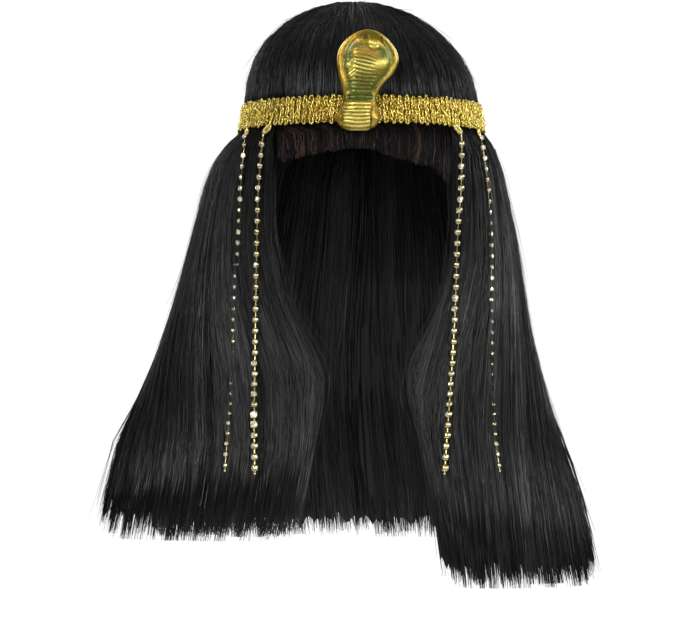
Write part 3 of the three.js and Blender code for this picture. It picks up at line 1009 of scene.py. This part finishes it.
def ribbed_yarn(rng, length):
    """Upright ribs of two-ply yarn side by side, each a long closed loop with straight sides and round ends.

    Round a loop the height goes as a cosine, and the place across as a low power of the sine. Seeded changes
    at every step crinkle the sides. The plies wind round the loop in a helix and are thicker at its ends.
    """
    steps = 34
    turn = TURN * np.linspace(0, 1, steps)
    sine = np.sin(turn)
    middle = np.abs(sine) ** 0.8
    along, out, wind = rng.normal(0, 1, (3, RIB_COUNT, steps))
    lean, tall = rng.normal(0, 1, (2, RIB_COUNT, 1))
    aside = RIB_HALF_WIDTH * np.sign(sine) * np.abs(sine) ** 0.4
    aside = aside + (0.05 + 0.55 * middle) * along + 0.2 * lean * np.cos(turn)
    share = np.arange(RIB_COUNT)[:, None] / RIB_COUNT + aside / length
    height = 0.5 + (0.485 + 0.02 * tall) * np.cos(turn)
    core, outward = band_place(share, height, 0.3 + (0.1 + 0.4 * middle) * out)
    step_length = np.linalg.norm(np.diff(core, axis=1, prepend=core[:, :1]), axis=-1)
    wound = np.cumsum(step_length, axis=1) / PLY_TURN * TURN + 0.6 * wind
    sideways = unit(np.cross(unit(np.gradient(core, axis=1)), outward))
    angle = wound[None, ..., None] + np.array([0, np.pi])[:, None, None, None]
    plies = core + PLY_OFFSET * (np.cos(angle) * sideways + np.sin(angle) * outward)
    plies = plies.reshape(-1, steps, 3)
    radius = np.broadcast_to(0.45 - 0.09 * middle, plies.shape[:2])
    return yarn_tubes(plies, np.tile(outward, (2, 1, 1)), radius, 4, 11)


def rib_filling(rng, length):
    """A yarn that zigzags up the middle of every rib, with seeded changes at every bend."""
    steps = 15
    along, up, out = rng.normal(0, 1, (3, RIB_COUNT, steps))
    zigzag = np.where(np.arange(steps) % 2, 0.9, -0.9)
    share = np.arange(RIB_COUNT)[:, None] / RIB_COUNT + (zigzag + 0.35 * along) / length
    height = np.linspace(0.15, 0.85, steps) + 0.015 * up
    core, outward = band_place(share, height, 0.25 + 0.25 * out)
    radius = np.full(core.shape[:2], 0.4)
    return yarn_tubes(core, outward, radius, 4, 7)


def curled_yarn(rng, length, pitch, row, rise, phase):
    """A thin yarn that curls along the band in small uneven loops about a row.

    Along the band it goes evenly with a sine that turns it back, and up it as a cosine. Seeded knots lean the
    loops, change their height and push them in and out.
    """
    per_loop = 10
    loops = int(round(length / pitch))
    q = np.linspace(0, loops, loops * per_loop + 1)
    lean, tall, out, jitter = crinkles(rng, q, 1.6, 4)
    turn = TURN * q + phase
    share = (q + (0.42 * np.sin(turn) + 0.3 * lean * np.cos(turn)) + 0.2 * jitter) / loops
    height = row + (rise + 0.05 * tall) * np.cos(turn) + 0.04 * jitter
    stand = -0.3 + 0.3 * np.sin(turn + 1.0) + 0.25 * out
    core, outward = band_place(share, np.clip(height, 0.04, 0.96), stand)
    radius = np.full((1, len(q)), 0.37)
    return yarn_tubes(core[None], outward[None], radius, 3, per_loop)


# Rows of curled yarn: pitch, height of the row and rise of its loops as shares of the band's height
CURL_ROWS = [(3.3, 0.28, 0.17), (3.0, 0.7, 0.17)]
# Section of the ground: share of the band's height and stand off its face
GROUND_SECTION = [
    (0.05, -2.1), (0.05, -1.5), (0.08, -1.1), (0.3, -1.0), (0.5, -0.9), (0.7, -1.0), (0.92, -1.1),
    (0.95, -1.5), (0.95, -2.1),
]


def make_band():
    """The braid: a ground ring of oblong section round the oval, with curled yarns and ribs over it."""
    rng = np.random.default_rng(17)
    length = oval_length((BAND_OUTER_TOP + BAND_OUTER_BOTTOM) / 2)
    across = 360
    height, stand = np.array(GROUND_SECTION).T
    share = np.arange(across)[:, None] / across
    share, height, stand = np.broadcast_arrays(share, height, stand)
    ground, _ = band_place(share, height, stand)
    faces, uv = grid_faces(across, len(GROUND_SECTION), wrap_rows=True, wrap_columns=True)
    make_piece("band_ground", ground, [faces], [uv], braid_ground, BRAID)
    ribs = joined([ribbed_yarn(rng, length), rib_filling(rng, length)])
    curled = [
        curled_yarn(rng, length, pitch, row, rise, 1.3 * order)
        for order, (pitch, row, rise) in enumerate(CURL_ROWS)
    ]
    make_piece("band_ribs", *ribs, pale_yarn, BRAID, ["head_band"])
    make_piece("band_curled_yarn", *joined(curled), deep_yarn, BRAID)


make_band()


# Strings of cups and their loops

CUP_PITCH = 7.85
CUP_RADIUS = 2.3
CUP_CLEARANCE = 1.3
# How far under the band a string's thread starts
THREAD_TOP = 0.9
# Loops: the frame's ring and wire, and the ring's gap from the band
RING_RADIUS = 2.4
RING_WIRE = 1.0
RING_GAP = 0.3
# Half the short way of a loop, how far it slants aside for each unit down, and where on its long way the
# middle is, then how far it hangs below that place, lies inside it and stands off it
LOOP_SHORT = 1.4
LOOP_SLANT = 2.2
LOOP_LEAD = 0.6
LOOP_DROP = 7.2
LOOP_SHIFT = 3.6
LOOP_STAND = 0.4
LOOP_STEPS = 32
LOOP_SIDES = 10
# Each string: its name, the fall it hangs over, its loop's x, and its route as z and x
STRINGS = [
    ("front_left", LEFT_FALL, -69.0,
     [[-86, -70.4], [-105, -72.4], [-126, -73.8], [-160, -74.8], [-196, -75.4], [-267, -76], [-318, -75]]),
    ("side_left", LEFT_FALL, -82.0,
     [[-86, -83.5], [-118, -86.4], [-160, -88.6], [-196, -91], [-267, -93], [-316, -96]]),
    ("front_right", RIGHT_FALL, 69.0,
     [[-86, 69.8], [-119, 69.6], [-147, 67.4], [-196, 66], [-232, 64], [-318, 57]]),
    ("side_right", RIGHT_FALL, 83.0,
     [[-86, 85.5], [-118, 90], [-160, 92], [-232, 92], [-289, 92.8], [-316, 95.6]]),
]
# How the cups of each string hang: the angle in degrees that they are turned by, how far they wander from
# it, the scale of the first and of the last, their links' radius, how deep the string sinks into the hair,
# how far down the first cup is, and half the length of the loop
HANG = {
    "front_left": (62, 62, (0.92, 1.24), 0.6, 0.0, 11.8, 5.0),
    "side_left": (30, 60, (0.8, 0.76), 0.24, 3.7, 7.8, 2.8),
    "front_right": (84, 62, (0.92, 1.24), 0.6, 0.0, 11.8, 5.0),
    "side_right": (-30, 60, (0.8, 0.76), 0.24, 3.15, 7.8, 2.8),
}
# Seeded changes of the cups: the step of their slow drift in radians, and their own turn and tilt in degrees
DRIFT_STEP = 0.7
OWN_TURN = 8
OWN_TILT = 7
CUP_SIDES = 16
CUP_CORNERS = 0.08
STONE_SIDES = 8
LINK_SIDES = 6
LINK_STEPS = 4
# Turned profiles: radius and height
CUP_PROFILE = [
    (0.02, -2.0), (1.5, -1.9), (2.15, -1.1), (2.35, 0.5), (2.3, 1.2), (1.95, 1.25), (1.85, 0.5), (0.02, 0.4),
]
STONE_PROFILE = [(0.02, 0.3), (1.9, 0.85), (1.75, 1.25), (1.0, 1.85), (0.02, 1.9)]
DROP_PROFILE = [(0.02, -1.0), (0.7, -0.8), (1.0, 0.0), (0.7, 0.8), (0.02, 1.0)]


def loop_place(x):
    """Centre of a loop that lies flat on the band over its lower edge, and its outward direction."""
    depth = BAND_OUTER_BOTTOM * OVAL_RATIO
    y = -depth * np.sqrt(1 - (x / BAND_OUTER_BOTTOM) ** 2)
    outward = unit(np.array([x / BAND_OUTER_BOTTOM ** 2, y / depth ** 2, 0.0]))
    centre = np.array([x, y, BAND_BOTTOM_Z + RING_RADIUS + RING_WIRE]) + outward * (RING_GAP + RING_WIRE)
    return centre, outward


def loop_wire(loop_x, half):
    """A long oval over the band's lower edge, with its upper end on the band, and its outward direction.

    It starts at its lower, outer end and closes there.
    """
    centre, outward = loop_place(loop_x)
    upward = np.array([0.0, 0.0, 1.0])
    aside = np.sign(loop_x) * unit(np.array([-outward[1], outward[0], 0.0])) * np.sign(-outward[1])
    long_way = unit(LOOP_SLANT * aside - upward)
    short_way = np.cross(outward, long_way)
    angle = TURN * np.arange(LOOP_STEPS + 1)[:, None] / LOOP_STEPS
    path = centre + half * (np.cos(angle) - LOOP_LEAD) * long_way + LOOP_SHORT * np.sin(angle) * short_way
    return path + LOOP_STAND * outward - LOOP_DROP * upward - LOOP_SHIFT * aside, outward


def string_route(table, loop_x, route, sink):
    """Points of a string's thread and its outward directions, from its loop down over the hair.

    At each height the thread lies a cup's radius and a clearance off the hair, at the route's own x, which is
    looked up among places across the fall. Smooth steps sink it into the hair below its top, and bring half
    of that back towards its end.
    """
    surface = side_surface(table)
    t = np.linspace(0, 1, 15)
    z, x = smooth_rows(route, t).T
    fine = np.linspace(0, 1, 2001)
    v = np.interp(-z, -smooth_rows(table, fine)[:, 0], fine)
    u, v_grid = np.meshgrid(np.linspace(0.001, 0.7, 700), v)
    out = outward_at(surface, u, v_grid)
    depth = sink * (smoothstep(0.08, 0.3, t) - 0.5 * smoothstep(0.8, 0.93, t))
    thread = surface(u, v_grid) + out * (CUP_RADIUS + CUP_CLEARANCE - depth)[:, None, None]
    nearest = np.argmin(np.abs(thread[..., 0] - x[:, None]), axis=1)
    rows = np.arange(len(x))
    centre, outward = loop_place(loop_x)
    top = np.array([centre[0], centre[1], BAND_BOTTOM_Z - THREAD_TOP])
    places = np.vstack([top, thread[rows, nearest]])
    outs = np.vstack([outward, out[rows, nearest]])
    smooth = smooth_rows(np.hstack([places, outs]), np.linspace(0, 1, 400))
    return smooth[:, :3], smooth[:, 3:]


def scaled_about(centres, shapes, scale):
    """Turned shapes scaled about their own centres."""
    middles = centres[:, None, None]
    return middles + (shapes - middles) * scale


def make_string(name, table, loop_x, route, seed):
    """A string: cups with stones at an even pitch, thin links between them and a small end drop.

    The cups' scale changes evenly down the string. They are turned by an angle that wanders with the cube of
    a sine of a seeded drift.
    """
    turn, wander, scale, link_radius, sink, first, loop_half = HANG[name]
    rng = np.random.default_rng(seed)
    points, outs = string_route(table, loop_x, route, sink)
    lengths = lengths_along(points)
    count = int(round((lengths[-1] - first) / CUP_PITCH + 0.5))
    pitch = (lengths[-1] - first) / (count - 0.5)
    along = unit(np.gradient(points, axis=0))
    across = unit(outs - np.sum(outs * along, -1, keepdims=True) * along)
    hung = rows_at(first + pitch * np.arange(count), lengths, np.hstack([points, along, across]))
    centres = hung[:, :3]
    directions = unit(hung[:, 3:6])
    facing = unit(hung[:, 6:])
    side = np.cross(directions, facing)
    drift = np.cumsum(rng.normal(0, DRIFT_STEP, count)) + rng.uniform(0, TURN)
    angle = np.radians(turn + wander * np.sin(drift) ** 3 + OWN_TURN * rng.normal(0, 1, count))
    tilt = np.radians(OWN_TILT) * rng.normal(0, 1, count)
    level = facing * np.cos(angle)[:, None] + side * np.sin(angle)[:, None]
    axes = unit(level + directions * np.sin(tilt)[:, None])
    grown = np.linspace(*scale, count)[:, None, None, None]
    cups = turned(CUP_PROFILE, centres, axes, directions, CUP_SIDES, CUP_CORNERS)
    cup_part = (scaled_about(centres, cups, grown), *tube_faces(count, len(CUP_PROFILE), CUP_SIDES))
    loop_path, _ = loop_wire(loop_x, loop_half)
    starts = np.concatenate([loop_path[:1], centres])
    ends = np.concatenate([centres, points[-1:]])
    share = np.linspace(0, 1, LINK_STEPS)[None, :, None]
    links = starts[:, None] * (1 - share) + ends[:, None] * share
    links_out = np.broadcast_to(np.concatenate([facing[:1], facing])[:, None], links.shape)
    thin = np.full(links.shape[:2], link_radius)
    link_tubes = tubes(links, links_out, thin, thin, LINK_SIDES)
    link_part = (link_tubes, *tube_faces(count + 1, LINK_STEPS, LINK_SIDES))
    drop = turned(DROP_PROFILE, points[-1:], along[-1:], facing[-1:], STONE_SIDES)
    drop_part = (drop, *tube_faces(1, len(DROP_PROFILE), STONE_SIDES))
    parts = joined([cup_part, link_part, drop_part])
    make_piece("string_" + name, *parts, gold_plate, CUPS, ["chain_" + name])
    stones = scaled_about(centres, turned(STONE_PROFILE, centres, axes, directions, STONE_SIDES), grown)
    stone_faces, stone_uv = tube_faces(count, len(STONE_PROFILE), STONE_SIDES)
    make_piece("stones_" + name, stones, stone_faces, stone_uv, clear_stone, CUPS, smooth=False)


def make_loop(name, loop_x):
    """A loop of wire that slants down from the band: a round section carried round a long oval."""
    path, outward = loop_wire(loop_x, HANG[name][-1])
    wire = np.full((1, len(path)), RING_WIRE)
    points = tubes(path[None], np.broadcast_to(outward, (1, *path.shape)), wire, wire, LOOP_SIDES)[:, :-1]
    faces, uvs = tube_faces(1, LOOP_STEPS, LOOP_SIDES, closed=True)
    make_piece("loop_" + name, points, faces, uvs, loop_plate, CUPS, ["ring_" + name])


for order, (name, table, loop_x, route) in enumerate(STRINGS):
    make_string(name, table, loop_x, route, 20 + order)
    make_loop(name, loop_x)


# Cobra

COBRA_BOTTOM_Z = -79.8
COBRA_X = -3.5
# Sections: height, half width, sway to the right, depth
COBRA_SECTIONS = [
    [0, 6, 0, 4], [2.2, 11, 0, 7.5], [5, 13.8, 0.1, 9.5], [8.5, 15.2, 0.1, 10.5], [13, 13.6, 0.2, 10.5],
    [18, 11.9, 1, 9], [23.5, 11.7, 1.5, 7.5], [29, 13.2, 2.3, 6.5], [34, 15.8, 3.8, 6], [40, 19.2, 5.8, 5.5],
    [48, 21.3, 6.9, 5], [55, 20.2, 6.7, 5], [61, 16.4, 6.4, 5], [65.5, 11.8, 6.7, 4.5], [68.3, 7, 6.9, 4],
    [69.6, 2.5, 7, 3],
]
RIB_PITCH = 2.65
HEAD_X = 4.6
HEAD_HEIGHT = 60.4
# The cobra's gap from the band
COBRA_GAP = 0.3
# Eyes: distance from the middle line and height, then their scale and turned profile
EYES = [(-0.9, 64.6), (10.2, 62.8)]
EYE_SHAPE = np.array([0.9, 1.0, 1.5])
EYE_PROFILE = [(0.02, -1.2), (1.35, -0.9), (1.4, 0.0), (1.1, 0.55), (0.6, 0.85), (0.02, 0.95)]
EYE_SIDES = 16
# Colour of the cobra's plain back: how raised, how green and how amber
PLAIN_BACK = (0.25, 0.1, 0.0, 1.0)


def band_front(x):
    """Depth of the band's front at a place across, on its oval."""
    inside = np.clip(x / BAND_OUTER_BOTTOM, -0.99, 0.99)
    return -BAND_OUTER_BOTTOM * OVAL_RATIO * np.sqrt(1 - inside ** 2)


def ridges(place, width):
    """Rounded ridges with narrow grooves, one for each width.

    They are the square root of a cosine between 0 and 1, which widens its crest.
    """
    return np.sqrt(0.5 + 0.5 * np.cos(TURN * place / width))


def cobra_face(height, across, half_width):
    """How far the cobra's face stands out beyond its plain body, and how raised, green and amber it is.

    x is the distance from the middle line. The parts are a rounded rim with a valley inside it, a bulging
    belly with slanted ribs, slanted scales and a bead on its left and a smooth swelling on its right, a
    ribbed base with an upright groove, and a low head with a snout where the hood leans forwards. Bells and
    smooth steps of x, of the height and of the distance from the outline give each part its place. How
    raised a place is also holds painted light: painted highlights on the middle of the ribs, the swelling,
    the bead, the snout and the lip, and painted shade between the ribs, in the grooves and collar, and under
    the head.
    """
    x = across * half_width
    inset = half_width * (1 - np.abs(across))
    hood = smoothstep(22, 34, height)
    base = 1 - smoothstep(18.5, 21.5, height)
    under_head = 1 - smoothstep(54.5, 58.5, height)
    rim = bell(inset - 1.6, 1.2) * smoothstep(20, 27, height)
    inner = smoothstep(3.0, 5.5, inset)
    valley = bell(inset - 4.8, 1.7) * hood
    bulge = smoothstep(4.0, 17, inset) * hood * (1 - 0.75 * smoothstep(47, 60, height))
    strip_x = x - blend(1.3, -1.0, smoothstep(30, 45, height))
    strip = smoothstep(9.0, 5.6, -strip_x) * smoothstep(10.0, 3.0, strip_x) * hood * under_head * inner
    slant = blend(0.03, 0.24, smoothstep(28, 48, height))
    arch = 0.03 * strip_x ** 2 * smoothstep(44, 54, height)
    ribs = ridges(height + slant * strip_x + arch, RIB_PITCH) * strip
    beside = smoothstep(-13.0, -11.5, strip_x) * smoothstep(-6.4, -7.4, strip_x)
    scales = ridges(height - 0.85 * (strip_x + 7), RIB_PITCH) * beside * smoothstep(35, 38, height)
    scales = scales * smoothstep(50, 47, height)
    left_of_groove = smoothstep(9.0, 8.0, x) * smoothstep(-11.0, -9.5, x)
    base_ribs = ridges(height - 0.012 * x ** 2 * smoothstep(16, 2, height), RIB_PITCH) * base * left_of_groove
    grooves = (bell(x - 9.2, 0.6) + 0.5 * bell(x + 11.2, 0.7)) * base
    collar = bell(height - 23.0, 1.6) * smoothstep(9.5, 7.5, np.abs(x))
    lean = smoothstep(40, 65, height) * smoothstep(0.5, 12.0, inset)
    round_head = np.hypot((x - HEAD_X) / 8.0, (height - HEAD_HEIGHT) / 5.6)
    head = np.exp(-round_head ** 2.4)
    cheek = bell(x - HEAD_X, 5.0) * bell(height - 55.0, 1.2)
    snout = bell(x - HEAD_X, 2.2) * bell(height - 59.6, 2.0)
    lip = bell(height - 57.0 - 0.05 * (x - HEAD_X) ** 2, 0.7) * smoothstep(3.6, 2.0, np.abs(x - HEAD_X))
    sockets = sum(bell(x - eye_x, 1.6) * bell(height - eye_height, 2.2) for eye_x, eye_height in EYES)
    knob = bell(x - 13.4, 1.8) * bell(height - 63.2, 2.4)
    swell = bell(x - 9.0, 4.8) * bell(height - 45.8, 3.8)
    bead = bell(x + 14.0, 1.7) * bell(height - 45.2, 2.2)
    relief = (
        0.5 * rim - 0.7 * valley + 1.5 * bulge + 0.55 * ribs + 0.35 * scales + 0.65 * base_ribs
        - 0.8 * grooves - 0.8 * collar + 0.8 * head + 1.5 * snout + 0.5 * lip - 0.4 * cheek
        - 0.3 * sockets + 0.7 * knob + 1.3 * lean + 0.9 * swell + 1.5 * bead
    )
    # Painted highlight: the ribs are brightest in a band about the middle of the hood.
    ribs_and_painted_highlight = (0.4 + 0.8 * bell(height - 45, 7)) * ribs
    # Painted light in how raised a place is: highlights on the swelling, the bead, the snout and the lip, and
    # shade between the ribs, in the grooves and collar, and under the head.
    raised = np.clip(
        0.24 + 0.45 * rim + ribs_and_painted_highlight + 0.5 * scales + 0.75 * base_ribs + 0.2 * head + 0.8 * snout
        + 0.8 * lip - 0.4 * strip - 0.35 * base * left_of_groove + 0.3 * base - 0.4 * cheek
        - 0.6 * grooves - 0.3 * collar + 0.8 * swell + 1.1 * bead,
        0, 1,
    )
    left_pocket = bell(x + 14.0, 3.4) * bell(height - 46, 6.0)
    right_pocket = bell(x - 11.0, 5.0) * bell(height - 52.8, 3.2)
    neck = bell(height - 27.5, 5.5) * inner * (1 - 0.8 * ribs)
    spots = bell(x - 6.0, 2.4) * bell(height - 28.5, 2.2) + bell(x + 9.5, 2.4) * bell(height - 31.5, 3.0)
    spots = spots + 1.3 * bell(x + 5.0, 2.6) * bell(height - 11.6, 1.3)
    beside_head = bell(x + 8.0, 4.5) * bell(height - 57, 4.0)
    hollows = np.clip(
        0.36 * inner * hood * (1 - head) + 1.2 * left_pocket + 0.85 * right_pocket + 0.5 * neck
        + 0.9 * collar + 0.45 * strip * (1 - ribs) + 0.7 * spots + 0.4 * cheek + 0.6 * beside_head,
        0, 1,
    )
    # Green thins on the rubbed rims, scales and ribs, and under the painted highlights of the swelling and
    # the bead.
    wear_and_painted_highlight = (1 - 0.75 * rim) * (1 - 0.7 * scales) * (1 - 0.5 * ribs) * (1 - 0.8 * swell) * (1 - 0.7 * bead)
    green = hollows * wear_and_painted_highlight
    amber = np.clip(
        0.52 * bell(x + half_width - 1.8, 2.2) * smoothstep(24, 34, height)
        + 0.42 * bell(height - 54, 3) * inner * smoothstep(11, 7, np.abs(strip_x))
        + 0.6 * bell(x + 8.5, 3.0) * bell(height - 64, 3.0) + 0.35 * bell(inset - 2.5, 2.0) * base
        + 0.3 * snout,
        0, 0.85,
    )
    return relief, np.stack([raised, green, amber, np.ones_like(raised)], axis=-1)


def cobra_body(height, across, depth):
    """Depth of the cobra's plain body, a round base that becomes a flat hood, and its share at each place.

    The share is one less a power of the distance across, itself to a power that rounds the outline.
    """
    hood = smoothstep(26, 38, height)
    edge = np.maximum(1 - np.abs(across) ** blend(2.2, 9.0, hood), 0) ** blend(0.5, 0.42, hood)
    return depth * edge, edge


def make_cobra():
    """The cobra: level loops carried upwards, each with a front in relief and a back that follows the band.

    Its eyes are turned profiles on the front.
    """
    rows = 160
    front_count = 116
    back_count = 30
    t = np.linspace(0, 1, rows)[:, None]
    height, half_width, sway, depth = smooth_rows(COBRA_SECTIONS, t[:, 0]).T[:, :, None]
    front_across = np.sin(np.linspace(-np.pi / 2, np.pi / 2, front_count) * 0.999)[None]
    back_across = np.sin(np.linspace(np.pi / 2, -np.pi / 2, back_count + 2) * 0.999)[None, 1:-1]
    seat = band_front(COBRA_X) - COBRA_GAP

    def back_y(x):
        """Depth of the back: it follows the band at the base and is flat behind the hood."""
        return blend(band_front(x) - COBRA_GAP, seat, smoothstep(20, 34, height))

    front_x = COBRA_X + sway + front_across * half_width
    back_x = COBRA_X + sway + back_across * half_width
    body, edge = cobra_body(height, front_across, depth)
    relief, colours = cobra_face(height, front_across, half_width)
    fade = np.clip(edge * 1.4, 0, 1) * smoothstep(0, 0.03, t) * smoothstep(1, 0.985, t)
    behind = back_y(front_x)
    front_y = behind + np.minimum(seat - body - relief * fade - behind, -0.2)
    z = COBRA_BOTTOM_Z + height
    front = np.stack([front_x, front_y, np.broadcast_to(z, front_x.shape)], axis=-1)
    back = np.stack([back_x, back_y(back_x), np.broadcast_to(z, back_x.shape)], axis=-1)
    points = np.concatenate([front, back], axis=1)
    plain = np.broadcast_to(PLAIN_BACK, back.shape[:2] + (4,))
    colours = np.concatenate([colours, plain], axis=1)
    faces, uvs = tube_faces(1, rows, front_count + back_count)
    make_piece("cobra", points, faces, uvs, gilt_moulding, GILT, ["cobra_ornament"], colours=colours)

    eye_x, eye_height = np.array(EYES).T
    row = np.interp(eye_height, height[:, 0], np.arange(rows)).round().astype(int)
    across = eye_x / half_width[row, 0]
    column = np.argmin(np.abs(front_across - across[:, None]), axis=1)
    places = front[row, column]
    places[:, 2] = COBRA_BOTTOM_Z + eye_height
    outward = unit(np.stack([(eye_x - HEAD_X) * 0.08, -np.ones(2), 0.15 * np.ones(2)], axis=-1))
    upward = np.broadcast_to([0.0, 0.0, 1.0], outward.shape)
    eyes = scaled_about(places, turned(EYE_PROFILE, places, outward, upward, EYE_SIDES), EYE_SHAPE)
    eye_faces, eye_uvs = tube_faces(len(EYES), len(EYE_PROFILE), EYE_SIDES)
    make_piece("cobra_eyes", eyes, eye_faces, eye_uvs, red_enamel, GILT)


make_cobra()


# Floor, light and background

FLOOR_Z = -750.0
FLOOR_HALF = 2000.0
FLOOR_SOLID = 300.0
TARGET = np.array([0.0, 0.0, -180.0])


def make_floor():
    """A plain pale floor, well below the hair, that fades out towards its edge."""
    mesh = bpy.data.meshes.new("floor")
    corners = np.array([[-1, -1], [1, -1], [1, 1], [-1, 1]]) * FLOOR_HALF
    points = np.hstack([corners, np.full((4, 1), FLOOR_Z)]) * MM
    mesh.from_pydata(points.tolist(), [], [[0, 1, 2, 3]])
    material = mottled_material(
        "pale_floor", own_space, ((3.0, 3.0, 3.0), 3.0),
        [(NOISE_LOW, (0.86, 0.86, 0.86)), (NOISE_HIGH, (0.9, 0.9, 0.9))], (0.6, 0.7), {},
    )
    tree = material.node_tree
    flat = {0: own_space(tree), 1: (1, 1, 0)}
    level = add_node(tree, "ShaderNodeVectorMath", flat, operation="MULTIPLY").outputs[0]
    distance = add_node(tree, "ShaderNodeVectorMath", {0: level}, operation="LENGTH").outputs["Value"]
    alpha = span(tree, distance, FLOOR_SOLID * MM, FLOOR_HALF * MM, 1.0, 0.0)
    feed(tree, tree.nodes[SHADER], {"Alpha": alpha})
    mesh.materials.append(material)
    floor = bpy.data.objects.new("floor", mesh)
    bpy.context.scene.collection.objects.link(floor)


make_floor()


def add_light(name, place, size, power):
    """A soft square light that looks at the wig."""
    data = bpy.data.lights.new(name, "AREA")
    data.shape = "SQUARE"
    data.size = size
    data.energy = power
    light = bpy.data.objects.new(name, data)
    light.location = [value * MM for value in place]
    direction = light.location.copy()
    direction.xyz = [(p - t) * MM for p, t in zip(place, TARGET)]
    light.rotation_euler = direction.to_track_quat("Z", "Y").to_euler()
    light.visible_camera = False
    bpy.context.scene.collection.objects.link(light)


# Lights: name, place, width in metres and power in watts
LIGHTS = [
    ("key_light", (-1300, -1900, 900), 1.1, 40),
    ("fill_light", (1600, -1700, 550), 1.2, 30),
    ("side_light", (2100, -100, 300), 1.0, 14),
    ("front_light", (200, -3200, 300), 1.6, 18),
    ("top_light", (0, 200, 1700), 1.4, 4),
    ("back_left_light", (-1300, 1700, 700), 1.2, 26),
    ("back_right_light", (1400, 1600, 600), 1.2, 26),
]
for light in LIGHTS:
    add_light(*light)


def make_background():
    """White for the camera. The wig is lit by a dim surround that is brighter above than below."""
    world = bpy.data.worlds.new("studio")
    world.use_nodes = True
    tree = world.node_tree
    soft = tree.nodes["Background"]
    direction = add_node(tree, "ShaderNodeTexCoord").outputs["Generated"]
    upward = add_node(tree, "ShaderNodeSeparateXYZ", {"Vector": direction}).outputs["Z"]
    level = span(tree, upward, -1.0, 1.0, 0.0, 1.0)
    greys = [(0.35, 0.04), (0.55, 0.12), (1.0, 0.2)]
    surround = ramp(tree, level, [(place, (grey, grey, grey)) for place, grey in greys])
    feed(tree, soft, {"Color": surround, "Strength": 1.0})
    white = add_node(tree, "ShaderNodeBackground", {"Color": (1, 1, 1, 1), "Strength": 1.0})
    seen = add_node(tree, "ShaderNodeLightPath").outputs["Is Camera Ray"]
    mixed = add_node(tree, "ShaderNodeMixShader", {0: seen, 1: soft.outputs[0], 2: white.outputs[0]})
    feed(tree, tree.nodes["World Output"], {"Surface": mixed.outputs[0]})
    bpy.context.scene.world = world


make_background()
bpy.context.scene.view_settings.view_transform = "Standard"
